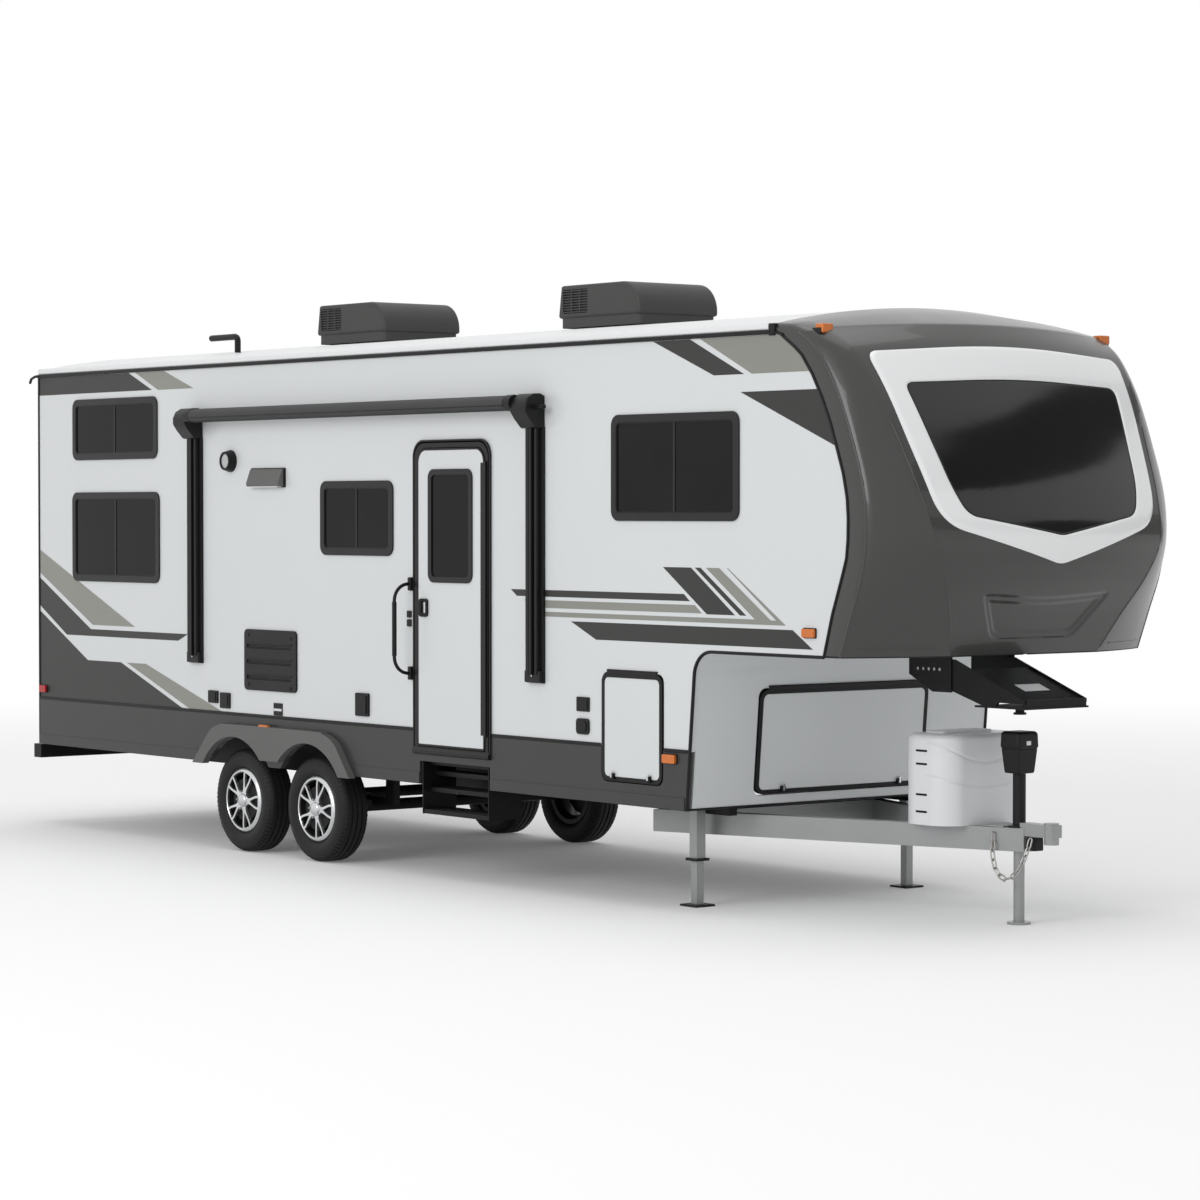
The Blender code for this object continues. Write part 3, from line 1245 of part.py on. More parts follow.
jack_base_z = DRAWBAR_TOP_Z + TOUCH
tongue_jack = baked(turned([(0.0, JACK_TUBE_TOP_Z + 0.01), (JACK_TUBE_RADIUS, JACK_TUBE_TOP_Z + 0.01),
                            (JACK_TUBE_RADIUS, jack_base_z), (0.0, jack_base_z)], (JACK_X, 0, 0), "z", 16))
body = tapered((JACK_X, 0.0), JACK_CAP_SIZE, JACK_TUBE_TOP_Z, JACK_TUBE_TOP_Z + JACK_BODY_HEIGHT,
               JACK_BODY_FOOT, JACK_BODY_TOP)
fuse(tongue_jack, baked(soften(body, 0.014, 2)))
cap_z = JACK_TUBE_TOP_Z + JACK_BODY_HEIGHT - 0.004
cap = tapered((JACK_X, 0.0), JACK_CAP_SIZE, cap_z, JACK_TUBE_TOP_Z + JACK_BODY_HEIGHT + JACK_CAP_HEIGHT, 1.0, 0.88)
fuse(tongue_jack, baked(soften(cap, 0.026, 2)))
keep(tongue_jack, "tongue_jack", "trim_black")


# Gas bottle cover

cover_foot = DRAWBAR_TOP_Z + TOUCH
cover_top = DRAWBAR_TOP_Z + COVER_HEIGHT - COVER_PAD_RISE
cover_outline = filleted(rectangle(COVER_X - COVER_LENGTH / 2, COVER_X + COVER_LENGTH / 2,
                                   -COVER_WIDTH / 2, COVER_WIDTH / 2), COVER_CORNER, 5)
propane_cover = baked(soften(prism([cover_outline], "xy", cover_foot, cover_top), COVER_EDGE, 2, 60))
pad_half_x, pad_half_y = COVER_PAD_SIZE[0] / 2, COVER_PAD_SIZE[1] / 2
fuse(propane_cover, baked(soften(block((COVER_X - pad_half_x - 0.04, -pad_half_y, cover_top - 0.02),
                                       (COVER_X + pad_half_x - 0.04, pad_half_y, cover_top + COVER_PAD_RISE)),
                                 COVER_PAD_RISE * 0.8, 2)))
front_half = sorted(((x, y) for x, y in cover_outline if x > COVER_X), key=lambda place: place[1])
for middle_rise, end_rise in COVER_GROOVES:
    groove = [(x, y, cover_foot + middle_rise + end_rise * (2 * y / COVER_WIDTH) ** 2) for x, y in front_half]
    cut(propane_cover, tube(groove, COVER_GROOVE_RADIUS, 0))
for side in (-1, 1):
    outer = side * (COVER_WIDTH / 2 + 0.01)
    inner = side * (COVER_WIDTH / 2 - COVER_SLOT_DEPTH)
    for rise in COVER_END_SLOTS:
        cut(propane_cover, block((COVER_X + COVER_END_SLOT_X[0], min(outer, inner), cover_foot + rise),
                                 (COVER_X + COVER_END_SLOT_X[1], max(outer, inner),
                                  cover_foot + rise + COVER_SLOT_HEIGHT)))
cover_front = COVER_X + COVER_LENGTH / 2
cut(propane_cover, block((cover_front - COVER_SLOT_DEPTH, -COVER_FRONT_SLOT_HALF, cover_foot + COVER_FRONT_SLOT_Z),
                         (cover_front + 0.01, COVER_FRONT_SLOT_HALF,
                          cover_foot + COVER_FRONT_SLOT_Z + COVER_SLOT_HEIGHT)))
keep(propane_cover, "propane_cover", "cover_white")


# Hitch pin box

bracket_top = NOSE_FLOOR_Z - TOUCH
pin_box = block((PIN_BRACKET_BACK_X + 0.004, -PIN_BRACKET_HALF + 0.004, bracket_top - 0.02),
                (PIN_BRACKET_FRONT_X - 0.004, PIN_BRACKET_HALF - 0.004, bracket_top))
cheek_outline = [(PIN_BRACKET_FRONT_X, bracket_top - 0.001), (PIN_BRACKET_BACK_X, bracket_top - 0.001)]
arm_half = PIN_BRACKET_HALF - PIN_PLATE_THICKNESS + 0.004
for side in (-1, 1):
    low_y = min(side * PIN_BRACKET_HALF, side * (PIN_BRACKET_HALF - PIN_PLATE_THICKNESS))
    fuse(pin_box, prism([cheek_outline + list(PIN_BRACKET_OUTLINE)], "xz", low_y, low_y + PIN_PLATE_THICKNESS))
    low_y = min(side * arm_half, side * (arm_half - PIN_PLATE_THICKNESS))
    fuse(pin_box, prism([PIN_ARM_OUTLINE], "xz", low_y, low_y + PIN_PLATE_THICKNESS))
between = arm_half - PIN_PLATE_THICKNESS / 2
fuse(pin_box, prism([PIN_COVER_OUTLINE], "xz", -between, between))
low_x, high_x, low_z, high_z = PIN_FLANGE
fuse(pin_box, block((low_x, -arm_half - 0.004, low_z), (high_x, arm_half + 0.004, high_z)))
low_x, high_x, low_z, high_z = PIN_LIP
fuse(pin_box, block((low_x, -between + 0.003, low_z), (high_x, between - 0.003, high_z)))
kingpin = baked(turned([(0.0, 0.006), (KINGPIN_RADIUS, 0.006), (KINGPIN_RADIUS, -KINGPIN_LENGTH + 0.012),
                        (KINGPIN_FLANGE_RADIUS, -KINGPIN_LENGTH + 0.012),
                        (KINGPIN_FLANGE_RADIUS, -KINGPIN_LENGTH), (0.0, -KINGPIN_LENGTH)],
                       (KINGPIN_X, 0, PIN_FLANGE[2]), "z", 16))
fuse(pin_box, kingpin)
keep(pin_box, "pin_box", "frame_black")


# Safety chain: links of bent bar, fused where they touch

CHAIN_BAR = 0.0045
CHAIN_LINK = 0.058
CHAIN_HALF_WIDTH = 0.0125
CHAIN_LINK_SIDES = 6
CHAIN_ROUTE_STEPS = 12
CHAIN_ROUTE = (
    # x, y, z from the drawbar's side down and back up to the coupler
    (5.560, -0.1149, 0.510), (5.558, -0.1149, 0.460), (5.558, -0.122, 0.400), (5.590, -0.124, 0.300),
    (5.655, -0.123, 0.258),
    (5.725, -0.116, 0.285), (5.770, -0.090, 0.370), (5.785, -0.0560, 0.470), (5.790, -0.0544, 0.530),
)


def chain():
    route = smooth_through(CHAIN_ROUTE, [CHAIN_ROUTE_STEPS] * (len(CHAIN_ROUTE) - 1))
    pitch = CHAIN_LINK - 2 * CHAIN_BAR - 0.0005
    stations = [Vector(route[0])]
    travelled = 0.0
    for first, second in zip(route, route[1:]):
        travelled += (Vector(second) - Vector(first)).length
        if travelled >= pitch:
            stations.append(Vector(second))
            travelled = 0.0
    halves = [bmesh.new(), bmesh.new()]
    for i, (start, end) in enumerate(zip(stations, stations[1:])):
        direction = (end - start).normalized()
        middle = (start + end) / 2
        turn = Vector((1, 0, 0)).rotation_difference(direction).to_matrix().to_4x4()
        if i % 2:
            turn = turn @ Matrix.Rotation(math.pi / 2, 4, "X")
        place = Matrix.Translation(middle) @ turn
        long_half = (end - start).length / 2 + CHAIN_BAR * 0.9
        ring = []
        for k in range(CHAIN_LINK_SIDES):
            angle = 2 * math.pi * (k + 0.5) / CHAIN_LINK_SIDES
            centre = Vector((long_half * math.cos(angle) * 1.05, CHAIN_HALF_WIDTH * math.sin(angle), 0))
            outward = Vector((math.cos(angle), math.sin(angle), 0))
            ring.append([halves[i % 2].verts.new(place @ (centre + outward * CHAIN_BAR * a
                                                           + Vector((0, 0, 1)) * CHAIN_BAR * b))
                         for a, b in ((1, 0), (0, 1), (-1, 0), (0, -1))])
        for k in range(CHAIN_LINK_SIDES):
            here, there = ring[k], ring[(k + 1) % CHAIN_LINK_SIDES]
            for j in range(4):
                halves[i % 2].faces.new((here[j], here[(j + 1) % 4], there[(j + 1) % 4], there[j]))
    shapes = []
    for half in halves:
        bmesh.ops.recalc_face_normals(half, faces=half.faces)
        mesh = bpy.data.meshes.new("links")
        half.to_mesh(mesh)
        half.free()
        shapes.append(loose(mesh))
    return fuse(shapes[0], shapes[1])


keep(chain(), "safety_chain", "chain_steel")


# Awning

tube_y = -HALF_WIDTH - AWNING_TUBE_OUT
rear_arm = AWNING_ARMS[0]
front_arm = AWNING_ARMS[1]
tube_start = rear_arm[2] + AWNING_HEAD_REACH
tube_end = front_arm[1] - AWNING_HEAD_REACH
awning_tube = tube([(tube_start, tube_y, AWNING_TUBE_Z), (tube_end, tube_y, AWNING_TUBE_Z)],
                   AWNING_TUBE_RADIUS, 4)
keep(awning_tube, "awning_tube", "trim_black")

for name, low_x, high_x, low_z, high_z in AWNING_ARMS:
    near_y = -HALF_WIDTH - TOUCH
    inset = (high_x - low_x) * AWNING_CHANNEL_INSET
    arm = block((low_x, near_y - AWNING_BASE_DEPTH, low_z), (high_x, near_y, high_z))
    fuse(arm, block((low_x + inset, near_y - AWNING_ARM_DEPTH, low_z + 0.03),
                    (high_x - inset, near_y - 0.01, high_z)))
    head_low = high_z - 0.012
    if name == rear_arm[0]:
        head_low_x, head_high_x = low_x, high_x + AWNING_HEAD_REACH
    else:
        head_low_x, head_high_x = low_x - AWNING_HEAD_REACH, high_x
    head = block((head_low_x + TOUCH, near_y - AWNING_HEAD_DEPTH, head_low),
                 (head_high_x - TOUCH, near_y - 0.002, head_low + AWNING_HEAD_HEIGHT))
    soften(head, 0.03, 2)
    fuse(arm, baked(head))
    keep(arm, name, "trim_black")


# Roof units and pipe

def roof_unit(rear_x):
    """A shroud with a rounded nose over a lower skirt, with a sunk louvre panel on either side."""
    foot = roof_height(0.0) + TOUCH
    front_x = rear_x + AC_LENGTH
    top = foot + AC_HEIGHT
    seam = foot + AC_SKIRT_HEIGHT
    profile = [(rear_x, seam), (rear_x + AC_REAR_LEAN, top)]
    profile += arc((front_x - AC_NOSE_RADIUS, top - AC_NOSE_RADIUS), AC_NOSE_RADIUS, 90, 0, 6)
    profile.append((front_x, seam))
    unit = baked(soften(prism([profile], "xz", -AC_WIDTH / 2, AC_WIDTH / 2), AC_EDGE, 2, 60))
    fuse(unit, block((rear_x + AC_SKIRT_INSET, -AC_WIDTH / 2 + AC_SKIRT_INSET, foot),
                     (front_x - AC_SKIRT_INSET, AC_WIDTH / 2 - AC_SKIRT_INSET, seam + AC_SKIRT_INSET)))
    for side in (-1, 1):
        outer = side * (AC_WIDTH / 2 + 0.01)
        inner = side * (AC_WIDTH / 2 - AC_LOUVRE_DEPTH)
        cut(unit, block((rear_x + AC_LOUVRE_INSET, min(outer, inner), seam + 0.028),
                        (rear_x + AC_LOUVRE_INSET + AC_LOUVRE_LENGTH, max(outer, inner), top - 0.028)))
    return unit


for name, rear_x in AC_UNITS:
    keep(roof_unit(rear_x), name, "ac_grey")

vent_y = -HALF_WIDTH + VENT_INSET
vent_foot = roof_skin_height(abs(vent_y) - VENT_RADIUS) + TOUCH
vent_top = vent_foot + VENT_HEIGHT
bend = arc((-0.03, VENT_HEIGHT - 0.03), 0.03, 0, 90, 3)
vent_route = [(VENT_X, vent_y, vent_foot)]
vent_route += [(VENT_X + u, vent_y, vent_foot + v) for u, v in bend]
vent_route.append((VENT_X - VENT_REACH, vent_y, vent_top))
keep(tube(vent_route, VENT_RADIUS), "vent_pipe", "trim_black")


# Wall fittings

furnace_grille = prism([filleted(rectangle(*GRILLE), GRILLE_CORNER, 3)], "xz",
                       -HALF_WIDTH - GRILLE_PROUD, -HALF_WIDTH - TOUCH)
for i in range(GRILLE_SLOTS):
    low_z = GRILLE[2] + GRILLE_SLOT_START + i * GRILLE_SLOT_PITCH
    slot_box = (GRILLE[0] + GRILLE_SLOT_INSET, GRILLE[1] - GRILLE_SLOT_INSET, low_z, low_z + GRILLE_SLOT_HEIGHT)
    slot = prism([filleted(rectangle(*slot_box), 0.02, 2)],
                 "xz", -HALF_WIDTH - GRILLE_PROUD - 0.01, -HALF_WIDTH - 0.004)
    cut(furnace_grille, slot)
keep(furnace_grille, "furnace_grille", "trim_black")

low_x, high_x, low_z, high_z = PORCH_LIGHT
lamp_y = -HALF_WIDTH - TOUCH
porch_light = prism([[(lamp_y, low_z), (lamp_y, high_z), (lamp_y - PORCH_LIGHT_PROUD * 0.35, high_z),
                      (lamp_y - PORCH_LIGHT_PROUD, low_z + 0.02), (lamp_y - PORCH_LIGHT_PROUD * 0.9, low_z)]],
                    "yz", low_x, high_x)
keep(porch_light, "porch_light", "trim_black")

depth, wide, tall = TAIL_LAMP_SIZE
tail_lamp_y = HALF_WIDTH - TAIL_LAMP_INSET
for side, where in ((-1, "door"), (1, "road")):
    lamp = block((REAR_X - TOUCH - depth, side * tail_lamp_y - wide / 2, TAIL_LAMP_Z - tall / 2),
                 (REAR_X - TOUCH, side * tail_lamp_y + wide / 2, TAIL_LAMP_Z + tall / 2))
    soften(lamp, 0.012, 1)
    keep(lamp, f"tail_lamp_{where}", "lamp_red")


# Round pieces look smooth, and the whole is centred on the origin

for shape in parts.objects:
    if shape.type == "MESH":
        smooth_sides(shape)

bpy.context.view_layer.update()
graph = bpy.context.evaluated_depsgraph_get()
corners = []
for shape in parts.objects:
    if shape.type == "MESH":
        finished = shape.evaluated_get(graph)
        corners += [shape.matrix_world @ vert.co for vert in finished.data.vertices]
middle_x = (min(c.x for c in corners) + max(c.x for c in corners)) / 2
middle_y = (min(c.y for c in corners) + max(c.y for c in corners)) / 2
origin.location = (-middle_x, -middle_y, 0.0)
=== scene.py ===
# The looks of a travel trailer with a raised nose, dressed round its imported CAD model.
# Metres, in the CAD model's own frame: +X towards the hitch, the entry door on the -Y side, +Z up.
import math

import bmesh
import bpy
from mathutils import Matrix, Quaternion, Vector
from mathutils.bvhtree import BVHTree


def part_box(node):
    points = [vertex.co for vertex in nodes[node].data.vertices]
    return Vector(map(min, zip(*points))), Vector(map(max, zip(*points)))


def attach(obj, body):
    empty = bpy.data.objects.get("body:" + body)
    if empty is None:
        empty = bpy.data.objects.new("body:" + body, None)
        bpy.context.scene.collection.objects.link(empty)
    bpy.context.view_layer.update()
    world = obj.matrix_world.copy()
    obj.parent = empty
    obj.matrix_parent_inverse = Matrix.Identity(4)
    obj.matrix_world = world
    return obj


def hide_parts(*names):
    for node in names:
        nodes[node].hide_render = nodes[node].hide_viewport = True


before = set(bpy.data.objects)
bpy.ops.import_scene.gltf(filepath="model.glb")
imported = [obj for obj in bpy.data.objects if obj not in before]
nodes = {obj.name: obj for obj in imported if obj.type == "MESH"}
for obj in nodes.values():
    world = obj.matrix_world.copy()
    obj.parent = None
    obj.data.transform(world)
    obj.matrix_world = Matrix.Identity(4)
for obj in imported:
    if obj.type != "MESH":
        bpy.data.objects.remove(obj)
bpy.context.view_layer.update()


# Camera
# The photograph looks at the door side from ahead, at standing height and through a long lens.
# Places are counted from the plan's origin: x from near the axles, y from the centreline, z from the ground.
REAR_WALL_PLAN_X = -3.26
rear_wall_low, rear_wall_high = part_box("rear_wall")
plan_x = rear_wall_low.x - REAR_WALL_PLAN_X
plan_y = (rear_wall_low.y + rear_wall_high.y) / 2


def at(x, y, z):
    """A place on the trailer in the model's frame, from its place on the plan."""
    return Vector((x + plan_x, y + plan_y, z))


CAMERA_PLACE = (19.4561, -13.8924, 2.2965)
CAMERA_AZIMUTH = math.radians(51.665)
CAMERA_PITCH = math.radians(1.4522)
CAMERA_LENS = 105.158
camera_data = bpy.data.cameras.new("camera")
camera_data.sensor_width = 36.0
camera_data.lens = CAMERA_LENS
camera_data.clip_end = 500.0
camera = bpy.data.objects.new("camera", camera_data)
bpy.context.scene.collection.objects.link(camera)
camera_back = Vector((math.sin(CAMERA_AZIMUTH) * math.cos(CAMERA_PITCH),
                      -math.cos(CAMERA_AZIMUTH) * math.cos(CAMERA_PITCH), math.sin(CAMERA_PITCH)))
camera.location = at(*CAMERA_PLACE)
camera.rotation_mode = "QUATERNION"
camera.rotation_quaternion = (-camera_back).to_track_quat("-Z", "Y")
bpy.context.scene.camera = camera
bpy.context.scene.view_settings.view_transform = "Standard"


# Studio
# A white floor and a white surround with two large soft lamps. Two dark cards stand out of the picture,
# where the nose window mirrors them.
FLOOR_SIZE = 400.0
FLOOR_NEAR, FLOOR_FAR = 7.0, 22.0
FLOOR_GLOW = 0.10
SKY_STRENGTH = 0.62
WHITE = (1.0, 1.0, 1.0, 1.0)


def feed(tree, socket, value):
    """Link a socket to another node's output, or set its value."""
    if isinstance(value, bpy.types.NodeSocket):
        tree.links.new(value, socket)
    else:
        socket.default_value = value


def node(tree, kind, inputs, **settings):
    """The outputs of a new node, with its settings made and its inputs fed."""
    made = tree.nodes.new("ShaderNode" + kind)
    for name, value in settings.items():
        setattr(made, name, value)
    for key, value in inputs.items():
        feed(tree, made.inputs[key], value)
    return made.outputs


def seen_directly(tree):
    """Whether a ray comes straight from the camera, or by way of a mirror or a pane."""
    rays = node(tree, "LightPath", {})
    seen = node(tree, "Math", {0: rays["Is Camera Ray"], 1: rays["Is Glossy Ray"]}, operation="MAXIMUM")
    return node(tree, "Math", {0: seen[0], 1: rays["Is Transmission Ray"]}, operation="MAXIMUM")[0]


bpy.ops.mesh.primitive_plane_add(size=FLOOR_SIZE, location=(0, 0, 0))
studio_floor = bpy.context.object
studio_floor.name = "studio_floor"
floor_paint = bpy.data.materials.new("studio_floor_paint")
floor_paint.use_nodes = True
floor_tree = floor_paint.node_tree
floor_shader = floor_tree.nodes["Principled BSDF"]
floor_seen = seen_directly(floor_tree)
floor_glow = node(floor_tree, "Math", {0: floor_seen, 1: FLOOR_GLOW}, operation="MULTIPLY")
for socket_name, value in (("Base Color", (0.93, 0.93, 0.93, 1.0)), ("Roughness", 0.9),
                           ("Specular IOR Level", 0.0), ("Emission Color", WHITE),
                           ("Emission Strength", floor_glow[0])):
    feed(floor_tree, floor_shader.inputs[socket_name], value)
floor_place = node(floor_tree, "TexCoord", {})
floor_distance = node(floor_tree, "VectorMath", {0: floor_place["Object"]}, operation="LENGTH")
floor_fade = node(floor_tree, "MapRange", {"Value": floor_distance["Value"], "From Min": FLOOR_NEAR,
                                           "From Max": FLOOR_FAR}, interpolation_type="SMOOTHSTEP")
floor_share = node(floor_tree, "Math", {0: floor_fade["Result"], 1: floor_seen}, operation="MULTIPLY")
floor_white = node(floor_tree, "Emission", {})
floor_mix = node(floor_tree, "MixShader", {0: floor_share[0], 1: floor_shader.outputs["BSDF"],
                                           2: floor_white[0]})
feed(floor_tree, floor_tree.nodes["Material Output"].inputs["Surface"], floor_mix[0])
studio_floor.data.materials.append(floor_paint)

world = bpy.data.worlds.new("studio_sky")
world.use_nodes = True
bpy.context.scene.world = world
sky_tree = world.node_tree
sky = sky_tree.nodes["Background"]
sky_level = node(sky_tree, "MapRange", {"Value": seen_directly(sky_tree), "To Min": SKY_STRENGTH,
                                        "To Max": 1.0})
feed(sky_tree, sky.inputs["Color"], WHITE)
feed(sky_tree, sky.inputs["Strength"], sky_level["Result"])

LAMPS = (
    # name, place, size, power
    ("key_lamp", (6.0, -24.0, 11.0), 12.0, 1900.0),
    ("top_lamp", (-1.0, 2.0, 30.0), 24.0, 1900.0),
)
for lamp_name, place, lamp_size, power in LAMPS:
    lamp_data = bpy.data.lights.new(lamp_name, "AREA")
    lamp_data.size = lamp_size
    lamp_data.energy = power
    lamp = bpy.data.objects.new(lamp_name, lamp_data)
    lamp.location = place
    lamp.rotation_mode = "QUATERNION"
    lamp.rotation_quaternion = (Vector((0, 0, 1.5)) - lamp.location).to_track_quat("-Z", "Y")
    bpy.context.scene.collection.objects.link(lamp)

GLASS_MIDDLE = (5.8, 0.0, 2.6)
CARDS = (
    # name, height of the card's middle over the window's, length, width, roll in degrees
    ("card_upper", 9.2, 34.0, 2.2, 12.0),
    ("card_lower", 3.2, 34.0, 2.4, 15.0),
)
card_paint = bpy.data.materials.new("studio_card_paint")
card_paint.use_nodes = True
card_shader = card_paint.node_tree.nodes["Principled BSDF"]
card_shader.inputs["Base Color"].default_value = (0.16, 0.16, 0.16, 1.0)
card_shader.inputs["Roughness"].default_value = 0.9
for card_name, rise, length, width, roll in CARDS:
    bpy.ops.object.select_all(action="DESELECT")
    bpy.ops.mesh.primitive_plane_add(size=1.0)
    card = bpy.context.object
    card.name = card_name
    card.scale = (length, width, 1.0)
    card.location = at(GLASS_MIDDLE[0] + 7.5, GLASS_MIDDLE[1] + 12.0, GLASS_MIDDLE[2] + rise)
    card.rotation_mode = "QUATERNION"
    card.rotation_quaternion = ((at(*GLASS_MIDDLE) - card.location).to_track_quat("Z", "Y")
                                @ Quaternion((0, 0, 1), math.radians(roll)))
    card.data.materials.append(card_paint)
    card.visible_camera = card.visible_diffuse = card.visible_shadow = card.visible_transmission = False


# Side walls, rear wall and lower front wall
# Laminated panels with a smooth gel-coated glass-fibre skin, hung between corner mouldings.
# The skin is nearly flat and satin, with a very slight ripple from the frame behind it.
HALF_WIDTH = 1.17
BELT_Z = 0.928
WALL_TOP_Z = 3.284


def finish(name, colour, roughness, metallic=0.0, drift=0.03, drift_scale=0.7, gloss_drift=0.04,
           grain=0.0, grain_scale=400.0, ripple=0.0, ripple_scale=1.5, coat=0.0, specular=0.5):
    """A surface for a slot of the record. Its colour and gloss drift a little, under a fine grain and a slow
    ripple."""
    material = bpy.data.materials.new(name)
    material.use_nodes = True
    tree = material.node_tree
    place = node(tree, "TexCoord", {})["Object"]
    tone = node(tree, "TexNoise", {"Vector": place, "Scale": drift_scale, "Detail": 5.0})
    ramp = tree.nodes.new("ShaderNodeValToRGB")
    for element, position, share in zip(ramp.color_ramp.elements, (0.3, 0.7), (1 - drift, 1 + drift)):
        element.position = position
        element.color = (*[c * share for c in colour], 1.0)
    feed(tree, ramp.inputs["Fac"], tone["Fac"])
    smear = node(tree, "TexNoise", {"Vector": place, "Scale": drift_scale * 6, "Detail": 3.0})
    gloss = node(tree, "MapRange", {"Value": smear["Fac"], "To Min": max(roughness - gloss_drift, 0.02),
                                    "To Max": roughness + gloss_drift})
    surface = {"Metallic": metallic, "Coat Weight": coat, "Specular IOR Level": specular,
               "Base Color": ramp.outputs["Color"], "Roughness": gloss["Result"]}
    for depth, scale, detail in ((ripple, ripple_scale, 1.0), (grain, grain_scale, 2.0)):
        if depth:
            relief = node(tree, "TexNoise", {"Vector": place, "Scale": scale, "Detail": detail})
            bump = {"Distance": depth, "Height": relief["Fac"]}
            if "Normal" in surface:
                bump["Normal"] = surface["Normal"]
            surface["Normal"] = node(tree, "Bump", bump)["Normal"]
    for socket_name, value in surface.items():
        feed(tree, tree.nodes["Principled BSDF"].inputs[socket_name], value)
    return material


def dress(material, *names):
    """Give CAD nodes a finish."""
    for name in names:
        for material_slot in nodes[name].material_slots:
            material_slot.material = material


wall_skin = finish("wall_skin", (0.665, 0.685, 0.695), 0.32, drift=0.012, grain=0.00005,
                   grain_scale=900.0, ripple=0.0012, ripple_scale=2.2, coat=0.15)
dress(wall_skin, "side_wall_door", "side_wall_road", "rear_wall", "front_wall")


# Floor, skirts and chassis finishes
# Painted aluminium skirts below the belt, a black coated floor pan and a black painted steel frame.
skirt_paint = finish("skirt_paint", (0.039, 0.0385, 0.0378), 0.38, drift=0.05, grain=0.0001,
                     grain_scale=700.0, ripple=0.0010, ripple_scale=2.5, coat=0.1, specular=0.3)
dress(skirt_paint, "skirt_door", "skirt_road")
frame_paint = finish("frame_paint", (0.007, 0.007, 0.0075), 0.45, drift=0.25,
                     drift_scale=4.0, grain=0.0003, grain_scale=260.0, specular=0.2)
dress(frame_paint, "chassis", "axle_front", "axle_rear", "steps", "pin_box")
# The floor pan's black also stands behind the furnace grille's slots and in the roof units' louvre pockets,
# as painted shade.
floor_pan_and_painted_shade = finish("floor_pan_and_painted_shade", (0.014, 0.014, 0.015), 0.7, drift=0.3, drift_scale=3.0,
                   grain=0.0006, grain_scale=60.0)
dress(floor_pan_and_painted_shade, "floor")


# Roof
# A white rubbery membrane stretched over the crown and rolled down over both long edges.
membrane = finish("membrane", (0.83, 0.84, 0.845), 0.5, drift=0.02, grain=0.0003,
                  grain_scale=180.0, ripple=0.002, ripple_scale=1.2)
dress(membrane, "roof")


# Vinyl stripes
# Self-adhesive film in two greys, cut in slanting bands, on both side walls.
FILM_BACK = HALF_WIDTH + 0.0004
FILM_FACE = FILM_BACK + 0.0007
DOOR_SIDE, ROAD_SIDE = -1, 1
SIDES = ((DOOR_SIDE, "door"), (ROAD_SIDE, "road"))
DARK_BANDS = (
    ((-3.255, 3.270), (-1.983, 3.268), (-1.667, 3.141), (-3.255, 3.141)),
    ((-3.255, 1.812), (-2.519, 1.451), (-1.202, 1.451), (-1.328, 1.402), (-2.863, 1.402), (-3.255, 1.610)),
    ((-3.255, 1.570), (-2.564, 1.227), (-2.102, 1.227), (-1.275, 0.938), (-3.255, 0.938)),
    ((3.857, 3.268), (4.188, 3.268), (4.657, 3.058), (4.398, 3.058)),
    ((4.627, 2.959), (5.275, 2.959), (5.319, 2.880), (5.347, 2.820), (5.373, 2.760), (5.398, 2.700),
     (5.422, 2.645)),
    ((3.948, 1.977), (4.198, 1.977), (4.582, 1.715), (4.339, 1.715)),
    ((4.233, 1.977), (4.282, 1.977), (4.679, 1.715), (4.625, 1.715)),
    ((2.499, 1.826), (4.135, 1.826), (4.189, 1.786), (2.560, 1.786)),
    ((3.090, 1.645), (5.068, 1.645), (5.234, 1.543), (3.330, 1.543)),
)
GREY_BANDS = (
    ((-1.892, 3.268), (-1.507, 3.268), (-1.122, 3.139), (-1.587, 3.139)),
    ((-3.255, 2.016), (-1.908, 1.482), (-2.491, 1.482), (-3.255, 1.850)),
    ((-2.019, 1.227), (-1.760, 1.227), (-0.765, 0.938), (-1.179, 0.938)),
    ((4.276, 3.268), (4.957, 3.268), (5.030, 3.222), (5.060, 3.208), (5.104, 3.180), (5.135, 3.150),
     (5.160, 3.120), (5.184, 3.090), (5.208, 3.058), (4.724, 3.058)),
    ((2.635, 1.765), (4.232, 1.765), (4.295, 1.719), (2.700, 1.719)),
    ((4.330, 1.977), (4.446, 1.977), (4.885, 1.694), (4.930, 1.694), (4.512, 1.977), (4.521, 1.977),
     (5.012, 1.668), (2.780, 1.668), (2.760, 1.696), (4.752, 1.696)),
)


def pick_up(piece):
    """Make a piece the only selected and active one."""
    bpy.ops.object.select_all(action="DESELECT")
    piece.select_set(True)
    bpy.context.view_layer.objects.active = piece
    return piece


def placed(data):
    """A new piece in the scene, picked up."""
    piece = bpy.data.objects.new(data.name, data)
    bpy.context.scene.collection.objects.link(piece)
    return pick_up(piece)


def mended(piece, weld=None):
    """The picked-up piece with places closer than the weld joined and its faces turned outwards."""
    bpy.ops.object.mode_set(mode="EDIT")
    bpy.ops.mesh.select_all(action="SELECT")
    if weld:
        bpy.ops.mesh.remove_doubles(threshold=weld)
    bpy.ops.mesh.normals_make_consistent(inside=False)
    bpy.ops.object.mode_set(mode="OBJECT")
    return piece


